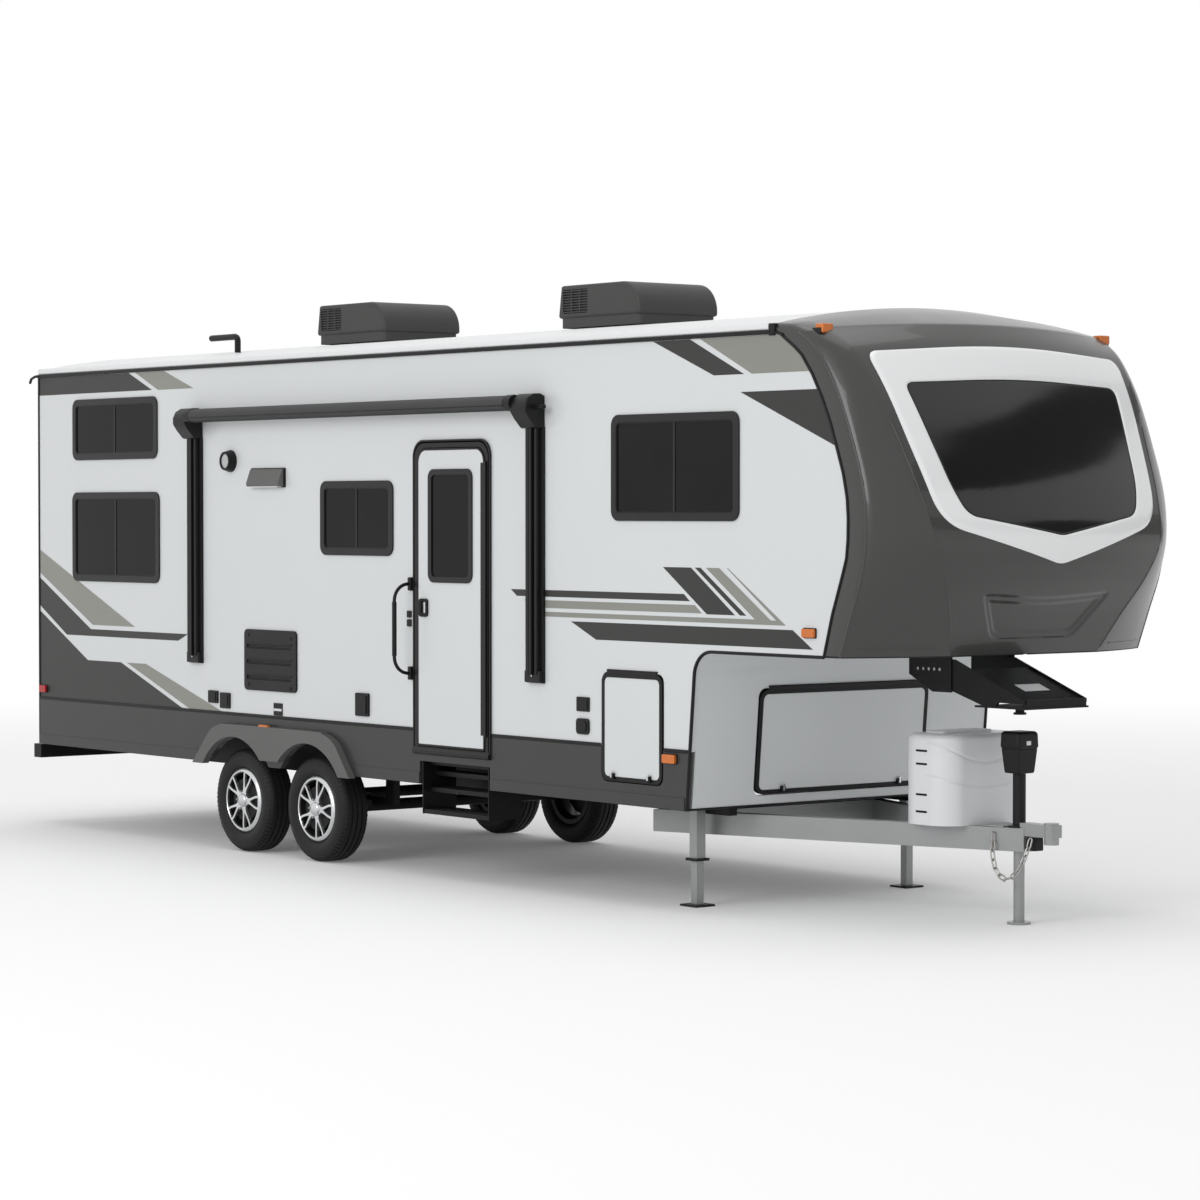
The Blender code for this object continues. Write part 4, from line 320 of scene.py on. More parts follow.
def flat_shape(outlines, plane, low, high):
    """A mesh cut from flat outlines in metres of the plan and made thick from low to high."""
    curve = bpy.data.curves.new("outline", "CURVE")
    curve.dimensions = "2D"
    curve.fill_mode = "BOTH"
    curve.extrude = (high - low) / 2
    for outline in outlines:
        spline = curve.splines.new("POLY")
        spline.points.add(len(outline) - 1)
        for point, (u, v) in zip(spline.points, outline):
            point.co = (u, v, 0.0, 1.0)
        spline.use_cyclic_u = True
    piece = placed(curve)
    middle = (low + high) / 2
    if plane == "xz":
        piece.rotation_euler = (math.pi / 2, 0, 0)
        piece.location = at(0, middle, 0)
    elif plane == "yz":
        piece.rotation_euler = (math.pi / 2, 0, math.pi / 2)
        piece.location = at(middle, 0, 0)
    else:
        piece.location = at(0, 0, middle)
    bpy.ops.object.convert(target="MESH")
    bpy.ops.object.transform_apply(location=True, rotation=True, scale=True)
    return mended(bpy.context.object, 0.00005)


def both(side, near, far):
    """Low and high y of a piece between two distances from the centreline on one side."""
    return sorted((side * near, side * far))


def side_shape(side, outlines, near, far):
    """A flat shape on one side of the trailer, between two distances from the centreline."""
    return flat_shape(outlines, "xz", *both(side, near, far))


def settle(piece, name, material, body="trailer", smooth=30.0):
    """Name a finished piece, give it its finish and the finish's slot, and hang it on its body."""
    piece.name = name
    piece.data.name = name
    piece.data.materials.clear()
    piece.data.materials.append(material)
    pick_up(piece)
    bpy.ops.object.transform_apply(location=True, rotation=True, scale=True)
    if smooth:
        bpy.ops.object.shade_smooth_by_angle(angle=math.radians(smooth))
        flat_faces = piece.modifiers.new("flat_faces", "WEIGHTED_NORMAL")
        flat_faces.keep_sharp = True
        bpy.ops.object.modifier_apply(modifier="flat_faces")
    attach(piece, body)
    return piece


film_dark = finish("film_dark", (0.033, 0.033, 0.0318), 0.34, drift=0.06, grain=0.00008,
                   grain_scale=1200.0, specular=0.3)
film_grey = finish("film_grey", (0.245, 0.245, 0.220), 0.32, drift=0.04, grain=0.00008,
                   grain_scale=1200.0)
for side, where in SIDES:
    for bands, film, tone_name in ((DARK_BANDS, film_dark, "dark"), (GREY_BANDS, film_grey, "grey")):
        for index, band in enumerate(bands):
            settle(side_shape(side, [band], FILM_BACK, FILM_FACE),
                   f"stripe_{tone_name}_{index}_{where}", film, smooth=0)


# Mouldings of the shell
# Black beads cover the joints: along the belt, the roof's edge, the rear corners and round the nose.
BELT_SEGMENTS = {
    "door": ((-3.26, 1.492), (2.309, 3.380), (3.965, 4.176)),
    "road": ((-3.26, 3.380), (3.965, 4.176)),
}


def slab(low, high):
    """A box between two corners of the plan, ready to be shaped."""
    low, high = at(*low), at(*high)
    bpy.ops.object.select_all(action="DESELECT")
    bpy.ops.mesh.primitive_cube_add(size=1.0, location=(low + high) / 2)
    piece = bpy.context.object
    piece.scale = high - low
    bpy.ops.object.transform_apply(location=True, rotation=False, scale=True)
    return piece


def side_slab(side, low_x, high_x, near, far, low_z, high_z):
    """A box on one side of the trailer, between two distances from the centreline."""
    low_y, high_y = both(side, near, far)
    return slab((low_x, low_y, low_z), (high_x, high_y, high_z))


def pick(piece, kind, test):
    """In edit mode, select only the faces or edges whose middle and direction pass a test."""
    pick_up(piece)
    bpy.ops.object.mode_set(mode="EDIT")
    bpy.ops.mesh.select_mode(type=kind)
    bpy.ops.mesh.select_all(action="DESELECT")
    edit = bmesh.from_edit_mesh(piece.data)
    for part in (edit.faces if kind == "FACE" else edit.edges):
        corners = [vert.co for vert in part.verts]
        middle = sum(corners, Vector()) / len(corners)
        direction = part.normal if kind == "FACE" else (corners[1] - corners[0]).normalized()
        if test(middle, direction):
            part.select_set(True)
    bmesh.update_edit_mesh(piece.data)


def round_edges(piece, width, steps=2, test=None, angle=40.0):
    """Round the edges that pass a test, or every sharp edge."""
    if test:
        pick(piece, "EDGE", test)
        bpy.ops.mesh.bevel(offset=width, segments=steps, affect="EDGES")
        bpy.ops.object.mode_set(mode="OBJECT")
        return piece
    pick_up(piece)
    soft = piece.modifiers.new("soft", "BEVEL")
    soft.width = width
    soft.segments = steps
    soft.limit_method = "ANGLE"
    soft.angle_limit = math.radians(angle)
    bpy.ops.object.modifier_apply(modifier="soft")
    return piece


def bead(points, radius, smooth_curve=False, sides=2):
    """A round bar along points of the plan."""
    curve = bpy.data.curves.new("bead", "CURVE")
    curve.dimensions = "3D"
    curve.bevel_depth = radius
    curve.bevel_resolution = sides
    curve.use_fill_caps = True
    if smooth_curve:
        spline = curve.splines.new("NURBS")
        spline.use_endpoint_u = True
        spline.order_u = 3
        curve.resolution_u = 6
    else:
        spline = curve.splines.new("POLY")
    spline.points.add(len(points) - 1)
    for point, place in zip(spline.points, points):
        point.co = (*at(*place), 1.0)
    placed(curve)
    bpy.ops.object.convert(target="MESH")
    return mended(bpy.context.object, 0.00002)


black_plastic = finish("black_plastic", (0.008, 0.008, 0.0083), 0.42, drift=0.15,
                       drift_scale=5.0, grain=0.0002, grain_scale=350.0, specular=0.22)
edge_white = finish("edge_white", (0.78, 0.79, 0.80), 0.4, drift=0.02, grain=0.0001,
                    grain_scale=300.0)
NOSE_EDGE = ((5.323, 1.504), (5.392, 1.740), (5.468, 1.940), (5.503, 2.040), (5.514, 2.140), (5.516, 2.255),
             (5.507, 2.370), (5.476, 2.500), (5.428, 2.630), (5.370, 2.780), (5.300, 2.920), (5.224, 3.045),
             (5.141, 3.148), (5.084, 3.192), (5.026, 3.229), (4.960, 3.272), (4.885, 3.286))
NOSE_BEND_CENTRE, NOSE_BEND_RADIUS = (4.372, 1.354), 0.15
FRONT_WALL_FOOT, FRONT_WALL_TOP = (4.155, 0.592), (4.222, 1.354)
lower_edge = [FRONT_WALL_FOOT, FRONT_WALL_TOP]
for step in range(1, 9):
    turn = math.radians(180 - 90 * step / 8)
    lower_edge.append((NOSE_BEND_CENTRE[0] + NOSE_BEND_RADIUS * math.cos(turn),
                       NOSE_BEND_CENTRE[1] + NOSE_BEND_RADIUS * math.sin(turn)))
lower_edge.append((5.318, 1.504))

for side, where in SIDES:
    for index, (start, end) in enumerate(BELT_SEGMENTS[where]):
        moulding = side_slab(side, start, end, FILM_BACK, HALF_WIDTH + 0.010, BELT_Z - 0.010,
                             BELT_Z + 0.012)
        round_edges(moulding, 0.005, 3)
        settle(moulding, f"belt_moulding_{index}_{where}", black_plastic)
    gutter = side_slab(side, REAR_WALL_PLAN_X - 0.012, 4.886, HALF_WIDTH - 0.004, HALF_WIDTH + 0.016,
                       WALL_TOP_Z - 0.014, WALL_TOP_Z + 0.010)
    round_edges(gutter, 0.006, 3)
    settle(gutter, f"gutter_{where}", black_plastic)
    roof_rail = side_slab(side, REAR_WALL_PLAN_X - 0.004, 4.875, HALF_WIDTH - 0.02, HALF_WIDTH + 0.009,
                          WALL_TOP_Z + 0.010, WALL_TOP_Z + 0.052)
    round_edges(roof_rail, 0.012, 4)
    settle(roof_rail, f"roof_rail_{where}", edge_white)
    spout = bead([(REAR_WALL_PLAN_X + 0.02, side * (HALF_WIDTH + 0.012), WALL_TOP_Z - 0.002),
                  (REAR_WALL_PLAN_X - 0.02, side * (HALF_WIDTH + 0.022), WALL_TOP_Z - 0.004),
                  (REAR_WALL_PLAN_X - 0.065, side * (HALF_WIDTH + 0.026), WALL_TOP_Z - 0.020),
                  (REAR_WALL_PLAN_X - 0.085, side * (HALF_WIDTH + 0.026), WALL_TOP_Z - 0.050)], 0.010)
    settle(spout, f"gutter_spout_{where}", black_plastic)
    corner = side_slab(side, REAR_WALL_PLAN_X - 0.008, REAR_WALL_PLAN_X + 0.012, HALF_WIDTH - 0.03,
                       HALF_WIDTH + 0.007, 0.592, WALL_TOP_Z - 0.014)
    round_edges(corner, 0.005, 3)
    settle(corner, f"rear_corner_moulding_{where}", black_plastic)
    settle(bead([(x, side * (HALF_WIDTH + 0.001), z) for x, z in NOSE_EDGE], 0.0085, True),
           f"nose_seal_{where}", black_plastic, smooth=50.0)
    settle(bead([(x, side * (HALF_WIDTH - 0.004), z) for x, z in lower_edge], 0.0105),
           f"front_edge_moulding_{where}", black_plastic, smooth=50.0)


# Moulded nose
# One glass-fibre moulding in dark metallic grey, with two raised creases down either side and a stepped
# recess below the window. A glossy white surround is bonded round the dark curved glass.
NOSE_STATIONS = (
    # wall's edge x and z, shoulder x and z, crease x, y and z, centreline x and z, from the foot up
    (5.323, 1.504, 5.445, 1.504, 5.680, 0.580, 1.504, 5.690, 1.504),
    (5.392, 1.740, 5.530, 1.720, 5.775, 0.665, 1.710, 5.800, 1.710),
    (5.468, 1.940, 5.612, 1.930, 5.865, 0.780, 1.930, 5.928, 1.930),
    (5.514, 2.140, 5.650, 2.130, 5.885, 0.875, 2.130, 5.975, 2.120),
    (5.507, 2.370, 5.640, 2.380, 5.820, 0.920, 2.380, 5.915, 2.360),
    (5.428, 2.630, 5.555, 2.650, 5.700, 0.960, 2.660, 5.780, 2.680),
    (5.300, 2.920, 5.420, 2.950, 5.555, 1.010, 2.960, 5.645, 2.960),
    (5.141, 3.148, 5.255, 3.170, 5.400, 1.045, 3.180, 5.520, 3.190),
    (5.026, 3.229, 5.110, 3.268, 5.225, 1.078, 3.300, 5.380, 3.340),
)
ROWS_A_GAP = (30, 30, 8, 8, 8, 8, 8, 8)
EDGE_COLUMNS, SIDE_COLUMNS, FRONT_COLUMNS = 2, 8, 56
NOSE_BULGE = 0.020
ROOF_EDGE_RADIUS, ROOF_EDGE_RISE, ROOF_CROWN = 0.045, 0.050, 0.166
ROOF_FRONT_X = 4.881
ROOF_BULGE = Vector((0.012, 0, 0.012))
# y, z and the reach of the rounding at each corner, for the right half seen from the front
SURROUND = (
    (0.000, 3.223, 0.450), (0.975, 3.162, 0.075), (0.900, 2.600, 0.200), (0.835, 2.230, 0.160),
    (0.000, 2.005, 0.050),
)
GLASS = (
    (0.000, 3.030, 0.380), (0.819, 2.991, 0.060), (0.720, 2.420, 0.090), (0.650, 2.273, 0.065),
    (0.000, 2.162, 0.035),
)
RECESS = ((0.000, 1.822, 0.150), (0.503, 1.852, 0.060), (0.318, 1.592, 0.060), (0.000, 1.590, 0.010))
RECESS_TOP_Z, RECESS_HALF_WIDTH = 1.9, 0.6
NOSE_THICKNESS = 0.014
RECESS_STEPS = (
    # distance inside the outline where a step starts, its width, its depth
    (0.000, 0.012, 0.0105), (0.034, 0.012, 0.0095),
)
nose_paint = finish("nose_paint", (0.041, 0.0405, 0.039), 0.30, metallic=0.1, drift=0.04,
                    grain=0.00005, grain_scale=1500.0, coat=0.35, specular=0.4)
surround_paint = finish("surround_paint", (0.86, 0.875, 0.88), 0.20, drift=0.01,
                        grain=0.00003, grain_scale=900.0, coat=0.4)
nose_glass = finish("nose_glass", (0.007, 0.007, 0.0075), 0.09, drift=0.2, gloss_drift=0.02,
                    ripple=0.0012, ripple_scale=2.0, specular=0.48)


def smooth_route(rows, steps):
    """Rows of numbers on a smooth curve through the given rows, with a count of steps for each gap."""
    result = []
    for index in range(len(rows) - 1):
        around_it = (rows[max(index - 1, 0)], rows[index], rows[index + 1],
                     rows[min(index + 2, len(rows) - 1)])
        gap_steps = steps[index] if isinstance(steps, tuple) else steps
        for step in range(gap_steps):
            t = step / gap_steps
            result.append(tuple(0.5 * (2 * b + (c - a) * t + (2 * a - 5 * b + 4 * c - d) * t ** 2
                                       + (3 * b - a - 3 * c + d) * t ** 3) for a, b, c, d in zip(*around_it)))
    result.append(tuple(rows[-1]))
    return result


def nose_row(row):
    """Points across half the nose at one height, from the side wall to the centreline."""
    edge_x, edge_z, shoulder_x, shoulder_z, crease_x, crease_y, crease_z, front_x, front_z = row
    edge = Vector((edge_x, HALF_WIDTH, edge_z))
    shoulder = Vector((shoulder_x, HALF_WIDTH - 0.006, shoulder_z))
    crease = Vector((crease_x, crease_y, crease_z))
    strip = edge.lerp(Vector((shoulder_x, HALF_WIDTH, shoulder_z)), 0.5)
    outward = Vector((shoulder.y - crease.y, crease.x - shoulder.x, 0)).normalized()
    points = [edge.lerp(strip, step / EDGE_COLUMNS) for step in range(EDGE_COLUMNS)]
    points += [strip.lerp(shoulder, step / EDGE_COLUMNS) for step in range(EDGE_COLUMNS)]
    for step in range(SIDE_COLUMNS):
        t = step / SIDE_COLUMNS
        points.append(shoulder.lerp(crease, t) + outward * NOSE_BULGE * 4 * t * (1 - t))
    for step in range(FRONT_COLUMNS + 1):
        share = 1 - step / FRONT_COLUMNS
        rise = 1 - share ** 2
        points.append(Vector((crease.x + (front_x - crease.x) * rise, crease.y * share,
                              crease.z + (front_z - crease.z) * rise)))
    return points


def roof_row(x, count):
    """Points across half the roof's section, spaced like a row of the nose."""
    route = []
    turns = 2 * EDGE_COLUMNS + SIDE_COLUMNS // 2
    for step in range(turns + 1):
        turn = math.radians(90 * step / turns)
        route.append(Vector((x, HALF_WIDTH - ROOF_EDGE_RADIUS + ROOF_EDGE_RADIUS * math.cos(turn),
                             WALL_TOP_Z + ROOF_EDGE_RISE - ROOF_EDGE_RADIUS
                             + ROOF_EDGE_RADIUS * math.sin(turn))))
    for step in range(1, count - turns):
        share = 1 - step / (count - turns - 1)
        route.append(Vector((x, (HALF_WIDTH - ROOF_EDGE_RADIUS) * share,
                             WALL_TOP_Z + ROOF_EDGE_RISE + (ROOF_CROWN - ROOF_EDGE_RISE) * (1 - share ** 2))))
    return route


def front_outline(half, margin=0.0, spans=9):
    """A closed outline seen from the front, its corners rounded, from the right half of its corners."""
    whole = list(half) + [(-y, z, reach) for y, z, reach in reversed(half[1:-1])]
    middle = Vector((0.0, sum(z for y, z, reach in whole) / len(whole)))
    arcs = []
    for index, (y, z, reach) in enumerate(whole):
        here = Vector((y, z))
        back, ahead = Vector(whole[index - 1][:2]) - here, Vector(whole[(index + 1) % len(whole)][:2]) - here
        start, end = here + back.normalized() * reach, here + ahead.normalized() * reach
        arcs.append([start * (1 - t) ** 2 + here * 2 * t * (1 - t) + end * t ** 2
                     for t in (k / 8 for k in range(9))])
    points = []
    for arc, following in zip(arcs, arcs[1:] + arcs[:1]):
        points += arc + [arc[-1].lerp(following[0], k / spans) for k in range(1, spans)]
    return [point + (point - middle).normalized() * margin for point in points]


def soft_step(value, start, width):
    """A smooth rise from nought to one."""
    t = min(max((value - start) / width, 0.0), 1.0)
    return t * t * (3 - 2 * t)


recess_outline = front_outline(RECESS)


def recess_depth(y, z):
    """How deep the stepped recess below the window lies at a place seen from the front."""
    place = Vector((y, z))
    inside, distance = False, 10.0
    for first, second in zip(recess_outline, recess_outline[1:] + recess_outline[:1]):
        along = second - first
        share = min(max((place - first).dot(along) / along.length_squared, 0.0), 1.0)
        distance = min(distance, (place - first - along * share).length)
        if (first.y > z) != (second.y > z) and y < first.x + (z - first.y) / (second.y - first.y) * along.x:
            inside = not inside
    depths = [depth * soft_step(distance, start, width) for start, width, depth in RECESS_STEPS]
    return sum(depths) if inside else 0.0


nose_rows = [nose_row(row) for row in smooth_route(NOSE_STATIONS, ROWS_A_GAP)]
roof_end = roof_row(ROOF_FRONT_X, len(nose_rows[0]))
flat_end = [point + Vector((0.05, 0, 0)) for point in roof_end]
nose_rows.append([last.lerp(first, 0.5) + ROOF_BULGE for last, first in zip(nose_rows[-1], flat_end)])
nose_rows += [flat_end, roof_end]
whole_rows = [row + [Vector((p.x, -p.y, p.z)) for p in reversed(row[:-1])] for row in nose_rows]
nose_width = len(whole_rows[0])
corners = [row * nose_width + column for row in range(len(whole_rows) - 1)
           for column in range(nose_width - 1)]
nose_faces = [(k, k + 1, k + nose_width + 1, k + nose_width) for k in corners]
nose_tree = BVHTree.FromPolygons([at(*point) for row in whole_rows for point in row], nose_faces)


def on_nose(y, z, height):
    """A place on the nose's skin seen from the front, raised over the skin."""
    place, normal = nose_tree.ray_cast(at(8.0, y, z), Vector((-1, 0, 0)))[:2]
    return place + normal * math.copysign(height, normal.x * height) if height else place


def mesh_piece(points, faces):
    """A mesh from places in the model's frame and faces, with its faces turned outwards."""
    mesh = bpy.data.meshes.new("piece")
    mesh.from_pydata(points, [], faces)
    return mended(placed(mesh))


def ring_faces(count, pairs):
    """Faces between pairs of rings that have the same count of points."""
    return [(k * count + i, k * count + (i + 1) % count, m * count + (i + 1) % count, m * count + i)
            for k, m in pairs for i in range(count)]


def laid_on_nose(rings, closed_middle=False):
    """A closed piece laid on the nose, from rings of places seen from the front with heights over the skin.
    Its first and last rings are closed over their middle, or else joined to each other."""
    points = [on_nose(place.x, place.y, height) for ring, height in rings for place in ring]
    count, last = len(rings[0][0]), len(rings) - 1
    pairs = [(k, k + 1) for k in range(last)]
    if not closed_middle:
        pairs.append((last, 0))
    faces = ring_faces(count, pairs)
    if closed_middle:
        for k in (0, last):
            ring, height = rings[k]
            middle = sum(ring, Vector((0.0, 0.0))) / count
            points.append(on_nose(middle.x, middle.y, height))
            faces += [(k * count + i, k * count + (i + 1) % count, len(points) - 1) for i in range(count)]
    return mesh_piece(points, faces)


def between(first, second, share):
    """An outline part of the way from one outline to another."""
    return [a.lerp(b, share) for a, b in zip(first, second)]


skin = []
for row in whole_rows:
    for point in row:
        near_recess = point.z < RECESS_TOP_Z and abs(point.y) < RECESS_HALF_WIDTH
        sunk = recess_depth(point.y, point.z) if near_recess else 0.0
        skin.append(at(point.x - sunk, point.y, point.z))
nose = mesh_piece(skin, nose_faces)
if sum(face.normal.x * face.area for face in nose.data.polygons) < 0:
    nose.data.flip_normals()
wall = nose.modifiers.new("wall", "SOLIDIFY")
wall.thickness = NOSE_THICKNESS
wall.offset = -1.0
bpy.ops.object.modifier_apply(modifier="wall")
settle(nose, "nose_moulding", nose_paint, smooth=50.0)
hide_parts("front_cap")
surround_edge, glass_edge = front_outline(SURROUND), front_outline(GLASS)
rings = [(surround_edge, -0.002), (surround_edge, 0.0030), (front_outline(SURROUND, -0.004), 0.0060),
         (front_outline(SURROUND, -0.018), 0.0118)]
inner, outer = front_outline(GLASS, 0.014), front_outline(SURROUND, -0.024)
rings += [(between(outer, inner, step / 8), 0.0134) for step in range(9)]
rings += [(front_outline(GLASS, 0.007), 0.0118), (glass_edge, 0.0060)]
rings += [(between(glass_edge, surround_edge, step / 4), -0.002) for step in range(4)]
surround = settle(laid_on_nose(rings), "nose_surround", surround_paint, smooth=40.0)
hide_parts("cap_surround")
glass_middle = [Vector((0.0, 2.62))] * len(glass_edge)
pane_edge = front_outline(GLASS, -0.004)
rings = [(between(pane_edge, glass_middle, step / 4), -0.002) for step in (3, 2, 1, 0)]
rings += [(pane_edge, 0.0045), (front_outline(GLASS, -0.009), 0.0062)]
rings += [(between(front_outline(GLASS, -0.012), glass_middle, step / 10), 0.0064) for step in range(10)]
glazing = settle(laid_on_nose(rings, closed_middle=True), "nose_window", nose_glass, smooth=30.0)
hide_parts("cap_window")
gasket = laid_on_nose([(front_outline(GLASS, 0.003), 0.0015), (front_outline(GLASS, 0.001), 0.0064),
                       (front_outline(GLASS, -0.006), 0.0070), (front_outline(GLASS, -0.009), 0.0040)])
settle(gasket, "nose_window_gasket", black_plastic, smooth=40.0)
shoulder_column, crease_column = 2 * EDGE_COLUMNS, 2 * EDGE_COLUMNS + SIDE_COLUMNS
for side, where in SIDES:
    for name, column, rows, radius in (("shoulder", shoulder_column, nose_rows[:-3:3], 0.0065),
                                       ("crease", crease_column, nose_rows[6:-22:3], 0.0060)):
        route = [(row[column].x - radius * 0.35, side * (row[column].y - radius * 0.35), row[column].z)
                 for row in rows]
        settle(bead(route, radius, sides=3), f"nose_{name}_{where}", nose_paint, smooth=60.0)
    lip_row = nose_rows[9][shoulder_column + 1:crease_column]
    settle(bead([(point.x - 0.002, side * (point.y - 0.001), point.z) for point in lip_row], 0.0060, sides=3),
           f"nose_foot_lip_{where}", nose_paint, smooth=60.0)
    foot_row = nose_rows[0][:crease_column] + nose_rows[0][crease_column::6]
    settle(bead([(point.x - 0.003, side * (point.y - 0.003), point.z + 0.003) for point in foot_row], 0.006),
           f"nose_foot_edge_{where}", black_plastic, smooth=60.0)
    settle(round_edges(side_slab(side, 4.872, 4.925, 1.150, 1.182, 3.262, 3.330), 0.006, 2),
           f"roof_joint_bracket_{where}", black_plastic)


# Side windows
# Tinted double glazing in black clamped frames with rounded corners, each split by a slim upright bar.
WINDOW_BAND = 0.046
WINDOWS = (
    # name, low x, high x, low z, high z
    ("upper_rear", -2.755, -1.589, 2.662, 3.097),
    ("lower_rear", -2.761, -1.564, 1.794, 2.431),
    ("middle", 0.445, 1.266, 2.012, 2.491),
    ("front", 3.482, 4.623, 2.240, 2.855),
)


def rounded(box, radius, steps=7, foot_radius=None):
    """Outline of a box (low u, high u, low v, high v) with rounded corners."""
    low_u, high_u, low_v, high_v = box
    foot = radius if foot_radius is None else foot_radius
    corners = ((high_u, high_v, radius, 0), (low_u, high_v, radius, 90),
               (low_u, low_v, foot, 180), (high_u, low_v, foot, 270))
    points = []
    for u, v, r, start in corners:
        centre_u = u - r if start in (0, 270) else u + r
        centre_v = v - r if start in (0, 90) else v + r
        for step in range(steps + 1):
            turn = math.radians(start + 90 * step / steps)
            points.append((centre_u + r * math.cos(turn), centre_v + r * math.sin(turn)))
    return points


def grown(box, margin):
    """A box widened on all sides, or narrowed."""
    return (box[0] - margin, box[1] + margin, box[2] - margin, box[3] + margin)


tinted_glass = finish("tinted_glass", (0.0075, 0.0075, 0.0073), 0.07, drift=0.25,
                      drift_scale=1.1, gloss_drift=0.02, ripple=0.0005, ripple_scale=2.0, specular=0.12)
window_frame_paint = finish("window_frame_paint", (0.014, 0.014, 0.0145), 0.34, drift=0.12,
                            drift_scale=3.0, grain=0.00008, grain_scale=900.0, specular=0.25)
for side, where in SIDES:
    for name, *box in WINDOWS:
        window_node = f"window_{name}_{where}"
        band = side_shape(side, [rounded(box, 0.062), rounded(grown(box, -WINDOW_BAND), 0.030)],
                          HALF_WIDTH + 0.0006, HALF_WIDTH + 0.0118)
        round_edges(band, 0.0048, 3)
        settle(band, f"frame_of_{window_node}", window_frame_paint)
        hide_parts(window_node)
        lip = side_shape(side, [rounded(grown(box, -WINDOW_BAND + 0.003), 0.032),
                                rounded(grown(box, -WINDOW_BAND - 0.008), 0.024)],
                         HALF_WIDTH - 0.010, HALF_WIDTH + 0.0075)
        round_edges(lip, 0.002, 2)
        settle(lip, f"gasket_of_{window_node}", black_plastic)
        pane = side_shape(side, [rounded(grown(box, -WINDOW_BAND + 0.002), 0.028)],
                          HALF_WIDTH - 0.006, HALF_WIDTH + 0.0015)
        settle(pane, f"pane_of_{window_node}", tinted_glass, smooth=0)
        middle = (box[0] + box[1]) / 2
        bar = side_slab(side, middle - 0.009, middle + 0.009, HALF_WIDTH, HALF_WIDTH + 0.0065,
                        box[2] + WINDOW_BAND + 0.002, box[3] - WINDOW_BAND - 0.002)
        round_edges(bar, 0.003, 2)
        settle(bar, f"bar_of_{window_node}", window_frame_paint)


# Entry door
# A framed white leaf with a tall tinted window, in a black aluminium frame screwed over the wall.
# It hangs on a long piano hinge at its front edge and shuts on a latch with a chromed plate.
DOOR_LEAF = (1.550, 2.251, 0.833, 2.684)
DOOR_GAP = 0.007
DOOR_FRAME_BAND = 0.056
DOOR_FACE = HALF_WIDTH + 0.018
DOOR_WINDOW = (1.672, 2.134, 1.853, 2.557)
HINGE_X, HINGE_Y, HINGE_RADIUS = 2.267, -1.1923, 0.0058
LATCH = (1.576, 1.667, 1.638, 1.751)
frame_shade = finish("frame_shade", (0.011, 0.0100, 0.0096), 0.36, drift=0.15,
                     drift_scale=2.0, grain=0.00012, grain_scale=500.0, specular=0.25)
chrome = finish("chrome", (0.62, 0.63, 0.65), 0.14, metallic=1.0, drift=0.03, gloss_drift=0.05)
flange = side_shape(DOOR_SIDE, [rounded(grown(DOOR_LEAF, DOOR_FRAME_BAND), 0.105, 9, 0.006),
                                rounded(grown(DOOR_LEAF, DOOR_GAP), 0.090, 9, 0.006)],
                    HALF_WIDTH + 0.0064, HALF_WIDTH + 0.0158)
round_edges(flange, 0.0035, 3)
settle(flange, "door_frame_flange", frame_shade)
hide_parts("door_frame")
sleeve = side_shape(DOOR_SIDE, [rounded(grown(DOOR_LEAF, 0.036), 0.088, 9, 0.004),
                                rounded(grown(DOOR_LEAF, DOOR_GAP), 0.090, 9, 0.006)],
                    HALF_WIDTH - 0.044, HALF_WIDTH + 0.0062)
settle(sleeve, "door_frame_sleeve", black_plastic)
rib = side_shape(DOOR_SIDE, [rounded(grown(DOOR_LEAF, 0.045), 0.100, 9, 0.006),
                             rounded(grown(DOOR_LEAF, 0.036), 0.096, 9, 0.006)],
                 HALF_WIDTH + 0.0150, HALF_WIDTH + 0.0158)
settle(rib, "door_frame_rib", black_plastic)
sill = flat_shape([[(-HALF_WIDTH - 0.0064, 0.777), (-HALF_WIDTH - 0.0064, 0.823),
                    (-HALF_WIDTH - 0.0160, 0.823), (-HALF_WIDTH - 0.0290, 0.803),
                    (-HALF_WIDTH - 0.0290, 0.785), (-HALF_WIDTH - 0.0160, 0.777)]], "yz", 1.500, 2.301)
round_edges(sill, 0.003, 2)
settle(sill, "door_sill", frame_shade)
leaf = side_shape(DOOR_SIDE, [rounded(DOOR_LEAF, 0.083, 9, 0.012),
                              rounded(grown(DOOR_WINDOW, -0.020), 0.045, 6)], DOOR_FACE - 0.040, DOOR_FACE)
round_edges(leaf, 0.003, 2)
settle(leaf, "door_leaf", wall_skin, body="door")
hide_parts("entry_door")
leaf_edge = side_shape(DOOR_SIDE, [rounded(grown(DOOR_LEAF, 0.002), 0.085, 9, 0.013),
                                   rounded(grown(DOOR_LEAF, -0.010), 0.075, 9, 0.006)],
                       DOOR_FACE - 0.0380, DOOR_FACE + 0.0022)
round_edges(leaf_edge, 0.001, 1)
settle(leaf_edge, "door_leaf_edge", frame_shade, body="door")
settle(bead([(HINGE_X, HINGE_Y, 0.915), (HINGE_X, HINGE_Y, 2.602)], HINGE_RADIUS, sides=3),
       "door_hinge", frame_shade, body="door", smooth=50.0)
settle(round_edges(slab((2.219, -1.1938, 0.925), (2.266, -1.1884, 2.592)), 0.0012, 1),
       "door_hinge_flap", frame_shade, body="door")
door_band = side_shape(DOOR_SIDE, [rounded(DOOR_WINDOW, 0.055), rounded(grown(DOOR_WINDOW, -0.036), 0.030)],
                       DOOR_FACE + 0.0004, DOOR_FACE + 0.0100)
round_edges(door_band, 0.0042, 3)
settle(door_band, "door_window_frame", window_frame_paint, body="door")
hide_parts("door_window")
door_pane = side_shape(DOOR_SIDE, [rounded(grown(DOOR_WINDOW, -0.022), 0.040)],
                       DOOR_FACE - 0.004, DOOR_FACE + 0.0012)
